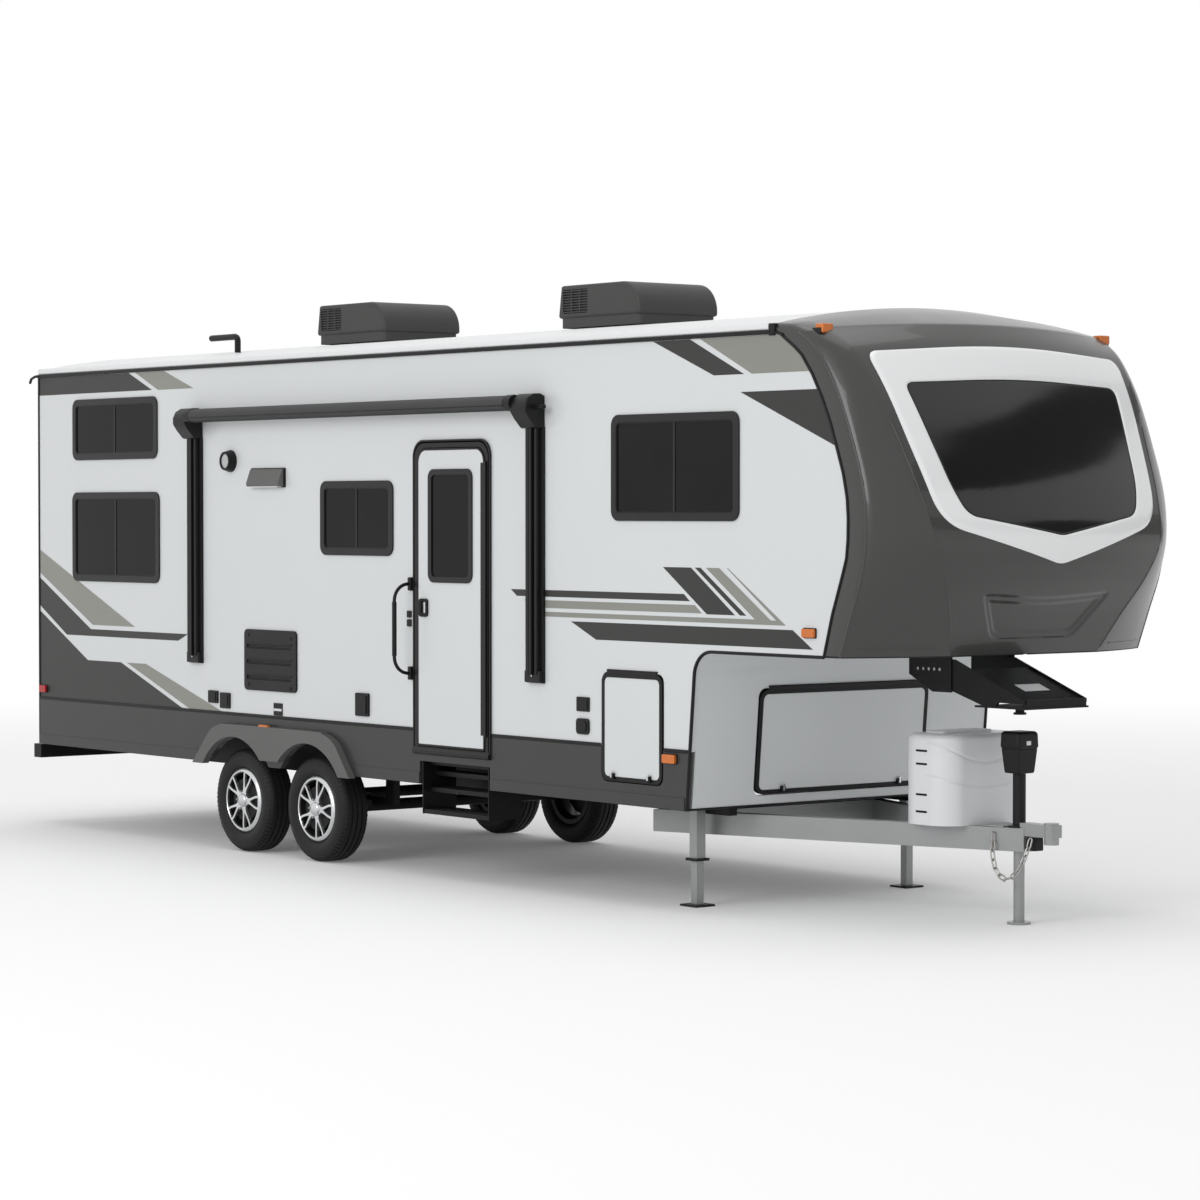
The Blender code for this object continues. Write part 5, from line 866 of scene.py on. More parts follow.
settle(door_pane, "door_window_pane", tinted_glass, body="door", smooth=0)
latch_body = side_shape(DOOR_SIDE, [rounded(LATCH, 0.020)], DOOR_FACE + 0.0004, DOOR_FACE + 0.0130)
round_edges(latch_body, 0.004, 3)
settle(latch_body, "door_latch_body", black_plastic, body="door")
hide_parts("door_latch")
settle(round_edges(slab((1.593, -DOOR_FACE - 0.0290, 1.658), (1.622, -DOOR_FACE - 0.0120, 1.736)), 0.006, 3),
       "door_latch_pull", black_plastic, body="door")
settle(round_edges(slab((1.628, -DOOR_FACE - 0.0185, 1.662), (1.652, -DOOR_FACE - 0.0120, 1.730)), 0.004, 3),
       "door_latch_plate", chrome, body="door")


# Grab handle
# A bent black tube with a rubber grip, bolted through two moulded feet beside the door.
HANDLE_X, HANDLE_OUT, HANDLE_BEND = 1.470, 0.140, 0.105
HANDLE_LOW_Z, HANDLE_HIGH_Z = 1.280, 1.840
handle_route = [(HANDLE_X, -HALF_WIDTH - 0.001, HANDLE_HIGH_Z)]
for centre_z, start in ((HANDLE_HIGH_Z - HANDLE_BEND, 90), (HANDLE_LOW_Z + HANDLE_BEND, 180)):
    for step in range(13):
        turn = math.radians(start + 90 * step / 12)
        handle_route.append((HANDLE_X, -HALF_WIDTH - HANDLE_OUT + HANDLE_BEND + HANDLE_BEND * math.cos(turn),
                             centre_z + HANDLE_BEND * math.sin(turn)))
handle_route.append((HANDLE_X, -HALF_WIDTH - 0.001, HANDLE_LOW_Z))
handle = settle(bead(handle_route, 0.011, sides=4), "grab_handle_tube", black_plastic, smooth=50.0)
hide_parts("grab_handle")
settle(round_edges(bead([(HANDLE_X, -HALF_WIDTH - HANDLE_OUT, z) for z in (1.390, 1.730)], 0.0148, sides=4),
                   0.003, 2),
       "grab_handle_grip", black_plastic, smooth=40.0)
for index, foot_z in enumerate((HANDLE_LOW_Z, HANDLE_HIGH_Z)):
    foot = side_slab(DOOR_SIDE, HANDLE_X - 0.017, HANDLE_X + 0.017, HALF_WIDTH + 0.0004, HALF_WIDTH + 0.030,
                     foot_z - 0.042, foot_z + 0.042)
    round_edges(foot, 0.007, 3)
    settle(foot, f"grab_handle_foot_{index}", black_plastic)


# Storage doors
# White panels in black extruded frames, hinged along the top, each shut with two thumb latches below.
SIDE_STORAGE = (3.394, 3.951, 0.725, 1.354)
HATCHES = ((DOOR_SIDE, "side"), (ROAD_SIDE, "road"))
FRONT_STORAGE = (-0.665, 0.665, 0.660, 1.270)
STORAGE_BAND = 0.026
STORAGE_PROUD = 0.009
FRONT_WALL_LEAN = math.atan2(FRONT_WALL_TOP[0] - FRONT_WALL_FOOT[0], FRONT_WALL_TOP[1] - FRONT_WALL_FOOT[1])


def tipped(piece, pivot, angle):
    """Turn a piece about an axis that runs across the trailer through a place on the plan."""
    pivot = at(*pivot)
    pick_up(piece)
    turn = Matrix.Rotation(angle, 4, "Y")
    piece.matrix_world = Matrix.Translation(pivot) @ turn @ Matrix.Translation(-pivot) @ piece.matrix_world
    bpy.ops.object.transform_apply(location=True, rotation=True, scale=True)
    return piece


def leaned(piece):
    """Lean a piece built upright at the front wall's foot onto the sloping wall."""
    return tipped(piece, (FRONT_WALL_FOOT[0], 0, FRONT_WALL_FOOT[1]), FRONT_WALL_LEAN)


def storage_latch(u, foot_v, plane, face, side):
    """The keeper and the tongue of a thumb latch on one of the storage doors."""
    pieces = []
    for low_u, high_u, low_v, high_v, near, far in ((-0.016, 0.016, -0.002, 0.034, 0.0, 0.016),
                                                    (-0.007, 0.007, 0.008, 0.046, 0.010, 0.021)):
        depth = both(side, face + near, face + far) if plane == "xz" else (face + near, face + far)
        piece = flat_shape([rounded((u + low_u, u + high_u, foot_v + low_v, foot_v + high_v), 0.005, 3)],
                           plane, *depth)
        pieces.append(round_edges(piece, 0.0025, 2))
    return pieces


for side, where in HATCHES:
    body = f"hatch_{where}"
    face = HALF_WIDTH + STORAGE_PROUD
    panel = side_shape(side, [rounded(grown(SIDE_STORAGE, -0.020), 0.034)], face - 0.028, face - 0.002)
    settle(panel, f"storage_panel_{where}", wall_skin, body=body, smooth=0)
    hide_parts(f"storage_door_{where}")
    band_hole = rounded(grown(SIDE_STORAGE, -STORAGE_BAND), 0.032)
    band = side_shape(side, [rounded(SIDE_STORAGE, 0.052), band_hole], face - 0.030, face + 0.0015)
    round_edges(band, 0.005, 3)
    settle(band, f"storage_frame_{where}", black_plastic, body=body)
    hinge_y = side * (HALF_WIDTH + 0.0063)
    bar = bead([(SIDE_STORAGE[0] + 0.05, hinge_y, 1.370), (SIDE_STORAGE[1] - 0.05, hinge_y, 1.370)], 0.0058,
               sides=3)
    settle(bar, f"storage_hinge_{where}", black_plastic, body=body, smooth=50.0)
    flap = side_slab(side, SIDE_STORAGE[0] + 0.05, SIDE_STORAGE[1] - 0.05, HALF_WIDTH + 0.0050,
                     HALF_WIDTH + 0.0080, 1.345, 1.368)
    settle(flap, f"storage_hinge_flap_{where}", frame_shade, body=body, smooth=0)
    for index, x in enumerate((3.505, 3.840)):
        keeper, tongue = storage_latch(x, SIDE_STORAGE[2] + 0.012, "xz", face, side)
        settle(keeper, f"storage_latch_{where}_{index}", black_plastic, body=body)
        settle(tongue, f"storage_tongue_{where}_{index}", chrome, body=body)

face = FRONT_WALL_FOOT[0] + STORAGE_PROUD
panel = leaned(flat_shape([rounded(grown(FRONT_STORAGE, -0.020), 0.034)], "yz", face - 0.028, face - 0.002))
settle(panel, "storage_panel_front", wall_skin, body="hatch_front", smooth=0)
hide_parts("storage_door_front")
band = flat_shape([rounded(FRONT_STORAGE, 0.060), rounded(grown(FRONT_STORAGE, -STORAGE_BAND), 0.036)], "yz",
                  face - 0.030, face + 0.0015)
settle(leaned(round_edges(band, 0.005, 3)), "storage_frame_front", black_plastic, body="hatch_front")
settle(bead([(4.2223, -0.60, 1.286), (4.2223, 0.60, 1.286)], 0.0058, sides=3),
       "storage_hinge_front", black_plastic, body="hatch_front", smooth=50.0)
settle(slab((4.2208, -0.60, 1.262), (4.2238, 0.60, 1.285)),
       "storage_hinge_flap_front", frame_shade, body="hatch_front", smooth=0)
for index, y in enumerate((-0.46, 0.46)):
    keeper, tongue = storage_latch(y, FRONT_STORAGE[2] + 0.012, "yz", face, 1)
    settle(leaned(keeper), f"storage_latch_front_{index}", black_plastic, body="hatch_front")
    settle(leaned(tongue), f"storage_tongue_front_{index}", chrome, body="hatch_front")
settle(bead([(4.1575, -HALF_WIDTH + 0.01, 0.596), (4.1575, HALF_WIDTH - 0.01, 0.596)], 0.0065),
       "front_wall_foot_trim", black_plastic, smooth=50.0)


# Wheel arch mouldings and skirt edges
# Grey moulded flares with a soft outer edge, and a folded lip along the foot of each skirt.
FLARE_OUTLINE = (
    (-1.062, 0.580), (-0.885, 0.766), (-0.815, 0.822), (-0.720, 0.853), (-0.600, 0.862), (0.400, 0.862),
    (0.530, 0.850), (0.630, 0.815), (0.690, 0.768), (0.840, 0.580),
)
ARCH_RADIUS, ARCH_CENTRE_Z = 0.460, 0.320
FLARE_FOOT_Z, FLARE_FACE = 0.580, HALF_WIDTH + 0.0560
MEETING_X, MEETING_Z = (-0.3, 0.1), 0.62
AXLE_X = {"rear": -0.55, "front": 0.33}
SKIRT_FOLDS = {
    "door": ((-3.258, -1.062), (0.845, 1.552), (2.296, 4.150)),
    "road": ((-3.258, -1.062), (0.845, 4.150)),
}
flare_paint = finish("flare_paint", (0.118, 0.117, 0.115), 0.48, drift=0.05, grain=0.00025,
                     grain_scale=420.0, specular=0.3)
arch_side = math.degrees(math.asin((FLARE_FOOT_Z - ARCH_CENTRE_Z) / ARCH_RADIUS))
arch_line = []
for axle_x in (AXLE_X["rear"], AXLE_X["front"]):
    for step in range(25):
        turn = math.radians(180 - arch_side - (180 - 2 * arch_side) * step / 24)
        arch_line.append((axle_x + ARCH_RADIUS * math.cos(turn),
                          ARCH_CENTRE_Z + ARCH_RADIUS * math.sin(turn)))
arch_line[1:-1] = [(x, z) for x, z in arch_line[1:-1] if z > MEETING_Z or not MEETING_X[0] < x < MEETING_X[1]]
flare_top = [FLARE_OUTLINE[0]] + smooth_route(FLARE_OUTLINE[1:-1], 4) + [FLARE_OUTLINE[-1]]
for side, where in SIDES:
    flare = side_shape(side, [list(flare_top) + list(reversed(arch_line))],
                       HALF_WIDTH + 0.0063, FLARE_FACE)
    outer_y = at(0, side * FLARE_FACE, 0).y
    pick(flare, "EDGE",
         lambda middle, direction: abs(middle.y - outer_y) < 0.001 and middle.z > FLARE_FOOT_Z + 0.005)
    bpy.ops.mesh.bevel(offset=0.019, segments=6, affect="EDGES", clamp_overlap=True)
    bpy.ops.object.mode_set(mode="OBJECT")
    settle(flare, f"flare_{where}", flare_paint, smooth=45.0)
    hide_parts(f"fender_{where}")
    for index, (start, end) in enumerate(SKIRT_FOLDS[where]):
        fold = side_slab(side, start, end, HALF_WIDTH + 0.0064, HALF_WIDTH + 0.0115, 0.593, 0.664)
        round_edges(fold, 0.0045, 3)
        settle(fold, f"skirt_fold_{where}_{index}", skirt_paint)


# Wheels
# Five-spoke cast alloy wheels with twin curved bars and machined faces, on ribbed trailer tyres.
# Each wheel is held by five nuts round a domed chrome cap.
TYRE_Y, TYRE_RADIUS = 1.0475, 0.348
TYRE_HALF_SECTION = (
    # radius, distance from the tyre's middle, from the bead up to the tread's middle
    (0.2060, 0.0740), (0.2185, 0.0775), (0.2260, 0.0900), (0.2400, 0.0985), (0.2560, 0.1035),
    (0.2740, 0.1060), (0.2920, 0.1055), (0.3080, 0.1015), (0.3200, 0.0955), (0.3230, 0.0920),
    (0.3350, 0.0810), (0.3425, 0.0680), (0.3425, 0.0640), (0.3460, 0.0630), (0.3468, 0.0440),
    (0.3390, 0.0430), (0.3390, 0.0340), (0.3474, 0.0330), (0.3478, 0.0060), (0.3395, 0.0050),
    (0.3395, 0.0),
)
LUG_SECTION = ((0.3140, 0.0975), (0.3240, 0.0960), (0.3360, 0.0865), (0.3440, 0.0740), (0.3460, 0.0650),
               (0.3380, 0.0640), (0.3200, 0.0850))
LUGS = 68
RIM_SECTION = (
    # radius, distance from the wheel's middle, round the bright outer ring
    (0.1905, 0.0900), (0.1915, 0.0985), (0.1950, 0.1020), (0.2010, 0.1010), (0.2080, 0.0965),
    (0.2145, 0.0895), (0.2170, 0.0850), (0.2170, 0.0775), (0.2050, 0.0765), (0.1960, 0.0740),
)
BARREL_SECTION = ((0.1905, 0.0890), (0.1880, 0.0600), (0.1700, 0.0200), (0.1640, -0.0400), (0.1880, -0.0730),
                  (0.2040, -0.0765), (0.2165, -0.0780), (0.2165, -0.0860), (0.1850, -0.0850),
                  (0.1580, -0.0420), (0.1640, 0.0240), (0.1820, 0.0660), (0.1840, 0.0880))
HUB_SECTION = ((0.0010, 0.1150), (0.0150, 0.1146), (0.0280, 0.1130), (0.0380, 0.1095), (0.0440, 0.1035),
               (0.0455, 0.0960), (0.0010, 0.0950))
BAR_PLACES = (
    # radius, degrees from the pair's middle, half width of a bar
    (0.066, 7.0, 0.0100), (0.082, 7.6, 0.0088), (0.100, 8.8, 0.0080), (0.125, 11.2, 0.0074),
    (0.150, 12.6, 0.0072), (0.172, 12.8, 0.0074), (0.190, 12.0, 0.0082),
)
PAIRS, PAIR_START = 5, 70.0
GAP_REACH, GAP_TURNS = 0.1905, (24, 36, 48)
RIM_STEPS = 96
NUT_CIRCLE, NUT_RADIUS = 0.0605, 0.0085


def turned_piece(section, centre, side, steps):
    """A closed section of radius and distance outwards, spun round a wheel's axle."""
    mesh = bpy.data.meshes.new("section")
    points = [centre + Vector((radius, side * out, 0.0)) for radius, out in section]
    mesh.from_pydata(points, [(i, (i + 1) % len(points)) for i in range(len(points))], [])
    piece = placed(mesh)
    bpy.ops.object.mode_set(mode="EDIT")
    bpy.ops.mesh.select_all(action="SELECT")
    bpy.ops.mesh.spin(steps=steps, angle=2 * math.pi, center=centre, axis=(0, 1, 0))
    bpy.ops.object.mode_set(mode="OBJECT")
    return mended(piece, 0.00004)


def repeated(piece, centre, count):
    """Repeat a piece round a wheel's axle, all in one mesh."""
    pick_up(piece)
    bpy.ops.object.mode_set(mode="EDIT")
    bpy.ops.mesh.select_all(action="SELECT")
    bpy.ops.mesh.spin(steps=count - 1, dupli=True, angle=2 * math.pi * (count - 1) / count, center=centre,
                      axis=(0, 1, 0))
    bpy.ops.object.mode_set(mode="OBJECT")
    return piece


def joined(pieces):
    """Join pieces into the first one."""
    bpy.ops.object.select_all(action="DESELECT")
    for piece in pieces:
        piece.select_set(True)
    bpy.context.view_layer.objects.active = pieces[0]
    bpy.ops.object.join()
    return bpy.context.object


def polar(radius, degrees):
    """A flat place at a distance and a turn from the middle."""
    return (radius * math.cos(math.radians(degrees)), radius * math.sin(math.radians(degrees)))


def spoke_gaps():
    """Outlines of the gaps in the wheel's face: one inside each pair of bars and one between pairs."""
    gaps = []
    inner_edge = [(r, a - math.degrees(w / r)) for r, a, w in BAR_PLACES[2:]]
    outer_edge = [(r, a + math.degrees(w / r)) for r, a, w in BAR_PLACES]
    for index in range(PAIRS):
        middle = PAIR_START + 360 / PAIRS * index
        following = middle + 360 / PAIRS
        inside = [polar(0.088, middle)] + [polar(r, middle + a) for r, a in inner_edge]
        gaps.append(inside + [polar(r, middle - a) for r, a in reversed(inner_edge)])
        gap = [polar(r, middle + a) for r, a in outer_edge] + [polar(GAP_REACH, middle + a)
                                                               for a in GAP_TURNS]
        gaps.append(gap + [polar(r, following - a) for r, a in reversed(outer_edge)])
    return gaps


rubber = finish("rubber", (0.013, 0.013, 0.0133), 0.58, drift=0.12, drift_scale=6.0,
                grain=0.0003, grain_scale=500.0, specular=0.25)
machined = finish("machined_alloy", (0.66, 0.67, 0.68), 0.24, metallic=0.9, drift=0.04,
                  drift_scale=8.0, gloss_drift=0.06)
barrel_black = finish("barrel_black", (0.008, 0.008, 0.0085), 0.40, drift=0.2,
                      drift_scale=6.0, specular=0.2)
nut_steel = finish("nut_steel", (0.34, 0.34, 0.35), 0.25, metallic=0.9, drift=0.08,
                   drift_scale=30.0)
for which, axle_x in AXLE_X.items():
    for side, where in SIDES:
        body = f"road_wheel_{which}_{where}"
        centre = at(axle_x, side * TYRE_Y, TYRE_RADIUS)
        section = list(TYRE_HALF_SECTION) + [(r, -w) for r, w in reversed(TYRE_HALF_SECTION[:-1])]
        tyre_parts = [turned_piece(section, centre, side, RIM_STEPS)]
        for lug_side in (-1, 1):
            lug = flat_shape([[(side * TYRE_Y + lug_side * w, TYRE_RADIUS + r) for r, w in LUG_SECTION]],
                             "yz", axle_x - 0.0095, axle_x + 0.0095)
            tyre_parts.append(repeated(lug, centre, LUGS))
        tyre = settle(joined(tyre_parts), f"ribbed_tyre_{which}_{where}", rubber, body=body, smooth=28.0)
        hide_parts(f"tyre_{which}_{where}")
        disc_edge = [polar(0.1935, 360 * step / RIM_STEPS) for step in range(RIM_STEPS)]
        disc = side_shape(side, [[(axle_x + u, TYRE_RADIUS + v) for u, v in outline]
                                 for outline in [disc_edge] + spoke_gaps()],
                          TYRE_Y + 0.0780, TYRE_Y + 0.0985)
        round_edges(disc, 0.0026, 2, angle=50.0)
        wheel_face = settle(joined([turned_piece(RIM_SECTION, centre, side, RIM_STEPS), disc]),
                            f"alloy_face_{which}_{where}", machined, body=body, smooth=35.0)
        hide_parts(f"wheel_{which}_{where}")
        settle(turned_piece(BARREL_SECTION, centre, side, 64),
               f"rim_barrel_{which}_{where}", barrel_black, body=body, smooth=35.0)
        settle(turned_piece(HUB_SECTION, centre, side, 48),
               f"hub_cap_{which}_{where}", chrome, body=body, smooth=40.0)
        first_u, first_v = polar(NUT_CIRCLE, PAIR_START + 180 / PAIRS)
        corners = [polar(NUT_RADIUS, 60 * k) for k in range(6)]
        hexagon = [(axle_x + first_u + u, TYRE_RADIUS + first_v + v) for u, v in corners]
        nut = side_shape(side, [hexagon], TYRE_Y + 0.0900, TYRE_Y + 0.1080)
        nuts = repeated(round_edges(nut, 0.0015, 2), centre, PAIRS)
        settle(nuts, f"wheel_nuts_{which}_{where}", nut_steel, body=body, smooth=35.0)


# Awning
# A black roller tube across the door side, carried by flat spring arms with deep moulded heads.
awning_paint = finish("awning_paint", (0.009, 0.009, 0.0093), 0.34, drift=0.15,
                      drift_scale=3.0, grain=0.0001, grain_scale=500.0, specular=0.22)
fabric = finish("fabric", (0.030, 0.030, 0.0305), 0.6, drift=0.1, drift_scale=6.0,
                grain=0.0004, grain_scale=900.0)
AWNING_Y, AWNING_Z = -1.288, 2.943
ROLL_START, ROLL_END = -0.940, 2.622
ARM_TOP_Z = 2.80
AWNING_ARMS = (
    # name, low x, high x, foot z, whether the tube is ahead of it
    ("awning_arm_rear", -1.159, -0.996, 1.258, True),
    ("awning_arm_front", 2.680, 2.843, 1.267, False),
)
ARM_BARS = ((0.030, 0.062, 0.052), (0.074, 0.098, 0.060), (0.110, 0.136, 0.048))
ARM_HEAD = ((0.000, 2.792), (0.000, 2.985), (0.030, 2.999), (0.085, 2.997), (0.128, 2.972), (0.148, 2.930),
            (0.147, 2.890), (0.120, 2.850), (0.075, 2.800), (0.060, 2.790))
roll = settle(bead([(ROLL_START, AWNING_Y, AWNING_Z), (ROLL_END, AWNING_Y, AWNING_Z)], 0.0435, sides=8),
              "awning_roll", fabric, smooth=40.0)
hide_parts("awning_tube")
for index, turn in enumerate((80, 200, 320)):
    u, v = polar(0.0430, turn)
    settle(bead([(-0.935, AWNING_Y + u, AWNING_Z + v), (2.617, AWNING_Y + u, AWNING_Z + v)], 0.0042),
           f"awning_roll_rib_{index}", awning_paint, smooth=50.0)
valance = slab((-0.92, AWNING_Y - 0.014, AWNING_Z - 0.0465), (2.60, AWNING_Y + 0.012, AWNING_Z - 0.036))
round_edges(valance, 0.004, 2)
settle(valance, "awning_valance", awning_paint)
near = -HALF_WIDTH - 0.0004
for name, low_x, high_x, foot_z, tube_ahead in AWNING_ARMS:
    base = settle(round_edges(slab((low_x, near - 0.020, foot_z), (high_x, near, ARM_TOP_Z)), 0.004, 2),
                  f"{name}_base", awning_paint)
    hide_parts(name)
    for index, (start, end, deep) in enumerate(ARM_BARS):
        bar = slab((low_x + start, near - deep, foot_z + 0.05), (low_x + end, near - 0.012, ARM_TOP_Z))
        round_edges(bar, 0.004, 2)
        settle(bar, f"{name}_bar_{index}", awning_paint)
    shoe = slab((low_x + 0.006, near - 0.042, foot_z + 0.004), (high_x - 0.006, near - 0.012, foot_z + 0.075))
    round_edges(shoe, 0.006, 3)
    settle(shoe, f"{name}_shoe", awning_paint)
    middle = (low_x + high_x) / 2
    screw = bead([(middle, near - 0.040, foot_z + 0.045), (middle, near - 0.0455, foot_z + 0.045)], 0.006,
                 sides=3)
    settle(screw, f"{name}_screw", chrome, smooth=50.0)
    head = flat_shape([[(near - out, z) for out, z in ARM_HEAD]], "yz", low_x + 0.004, high_x - 0.004)
    round_edges(head, 0.010, 3, angle=50.0)
    settle(head, f"{name}_head", awning_paint, smooth=40.0)
    cup_start, cup_end = (high_x - 0.01, high_x + 0.053) if tube_ahead else (low_x - 0.053, low_x + 0.01)
    cup = bead([(cup_start, AWNING_Y + 0.005, AWNING_Z), (cup_end, AWNING_Y + 0.005, AWNING_Z)], 0.0500,
               sides=8)
    round_edges(cup, 0.006, 3)
    settle(cup, f"{name}_cup", awning_paint, smooth=40.0)
settle(round_edges(slab((2.835, near - 0.090, 2.905), (2.922, near - 0.055, 2.930)), 0.004, 2),
       "awning_stub", awning_paint)


# Furnace grille
# A black pressed steel cover with three hooded slots, screwed to the wall at its corners.
GRILLE = (-0.467, 0.162, 1.100, 1.507)
GRILLE_SLOTS = ((1.172, 1.204), (1.276, 1.308), (1.380, 1.412))
GRILLE_SCREWS = ((-0.415, 1.470), (0.095, 1.455), (-0.415, 1.138), (0.095, 1.125))
slot_low_x, slot_high_x = GRILLE[0] + 0.035, GRILLE[1] - 0.058
grille_holes = [rounded((slot_low_x, slot_high_x, low, high), 0.006, 2) for low, high in GRILLE_SLOTS]
cover_plate = side_shape(DOOR_SIDE, [rounded(GRILLE, 0.034)] + grille_holes, HALF_WIDTH + 0.0004,
                         HALF_WIDTH + 0.0136)
round_edges(cover_plate, 0.0035, 2)
settle(cover_plate, "grille_plate", awning_paint)
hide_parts("furnace_grille")
# A dark sheet behind each slot covers the wall: painted shade standing in for the dark inside of the vent.
for index, (low, high) in enumerate(GRILLE_SLOTS):
    settle(side_slab(DOOR_SIDE, slot_low_x, slot_high_x, HALF_WIDTH + 0.0006, HALF_WIDTH + 0.0040, low, high),
           f"grille_painted_shade_{index}", floor_pan_and_painted_shade, smooth=0)
    fin = side_slab(DOOR_SIDE, slot_low_x + 0.001, slot_high_x - 0.001, HALF_WIDTH + 0.0040,
                    HALF_WIDTH + 0.0125, low + 0.001, low + 0.009)
    round_edges(fin, 0.002, 1)
    settle(fin, f"grille_fin_{index}", black_plastic)
    hood = side_slab(DOOR_SIDE, slot_low_x - 0.005, slot_high_x + 0.005, HALF_WIDTH + 0.010,
                     HALF_WIDTH + 0.0190, high - 0.004, high + 0.006)
    round_edges(hood, 0.003, 2)
    settle(hood, f"grille_hood_{index}", awning_paint)
for index, (x, z) in enumerate(GRILLE_SCREWS):
    settle(round_edges(bead([(x, -HALF_WIDTH - 0.011, z), (x, -HALF_WIDTH - 0.0175, z)], 0.0125, sides=3),
                       0.002, 2),
           f"grille_screw_{index}", black_plastic)


# Small fittings of the door side
# Moulded switches, inlets, outlets and vents, a round spotlight and a porch lamp, screwed on over gaskets.
lens_white = finish("lens_white", (0.70, 0.71, 0.72), 0.25, drift=0.03)
spot_glass = finish("spot_glass", (0.48, 0.49, 0.49), 0.20, drift=0.12, drift_scale=30.0)
SMALL_FITTINGS = (
    # name, low x, high x, low z, high z, how far it stands out, corner radius, finish
    ("switch_upper", 1.420, 1.462, 1.628, 1.671, 0.010, 0.006, black_plastic),
    ("switch_lower", 1.420, 1.462, 1.572, 1.617, 0.010, 0.006, black_plastic),
    ("inlet_rear", -0.924, -0.808, 0.993, 1.077, 0.014, 0.006, black_plastic),
    ("inlet_rear_lid", -0.906, -0.826, 1.005, 1.065, 0.018, 0.006, black_plastic),
    ("inlet_front", -0.774, -0.655, 0.963, 1.068, 0.014, 0.006, black_plastic),
    ("inlet_front_lid", -0.756, -0.673, 0.977, 1.054, 0.018, 0.006, black_plastic),
    ("blank_plate", -0.120, -0.016, 0.942, 1.024, 0.006, 0.003, black_plastic),
    ("blank_plate_band", -0.116, -0.020, 0.972, 0.988, 0.008, 0.002, chrome),
    ("outlet_box", 0.851, 0.997, 0.984, 1.132, 0.016, 0.010, black_plastic),
    ("outlet_lid", 0.868, 0.980, 1.000, 1.116, 0.022, 0.010, black_plastic),
    ("vent_upper", 3.154, 3.272, 1.117, 1.202, 0.010, 0.005, black_plastic),
    ("vent_upper_lid", 3.168, 3.258, 1.131, 1.188, 0.014, 0.004, black_plastic),
    ("vent_lower", 3.154, 3.272, 0.982, 1.076, 0.014, 0.022, black_plastic),
    ("vent_lower_lid", 3.172, 3.254, 0.998, 1.060, 0.019, 0.018, black_plastic),
    ("porch_base", -0.382, 0.028, 2.453, 2.583, 0.012, 0.010, black_plastic),
)
for name, low_x, high_x, low_z, high_z, proud, corner, paint in SMALL_FITTINGS:
    fitting = side_shape(DOOR_SIDE, [rounded((low_x, high_x, low_z, high_z), corner, 4)],
                         HALF_WIDTH + 0.0004, HALF_WIDTH + proud)
    round_edges(fitting, min(corner * 0.4, 0.003), 2)
    settle(fitting, name, paint)
spot_centre = at(-0.645, -HALF_WIDTH, 2.634)
spot = turned_piece([(0.0010, 0.044), (0.0480, 0.044), (0.0500, 0.056), (0.0560, 0.0575), (0.0620, 0.0540),
                     (0.0740, 0.0120), (0.0745, 0.0005), (0.0010, 0.0005)], spot_centre, -1, 40)
settle(spot, "spot_housing", black_plastic, smooth=40.0)
spot_lens = turned_piece([(0.0010, 0.0500), (0.0300, 0.0490), (0.0485, 0.0460), (0.0485, 0.0435),
                          (0.0010, 0.0435)], spot_centre, -1, 40)
settle(spot_lens, "spot_lens", spot_glass, smooth=40.0)
hood = flat_shape([[(-HALF_WIDTH - 0.010, 2.460), (-HALF_WIDTH - 0.010, 2.578), (-HALF_WIDTH - 0.026, 2.572),
                    (-HALF_WIDTH - 0.058, 2.484), (-HALF_WIDTH - 0.054, 2.460)]], "yz", -0.372, 0.018)
round_edges(hood, 0.005, 3)
settle(hood, "porch_hood", flare_paint)
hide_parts("porch_light")
settle(slab((-0.350, -HALF_WIDTH - 0.050, 2.4535), (-0.004, -HALF_WIDTH - 0.014, 2.4620)),
       "porch_lens", lens_white, smooth=0)


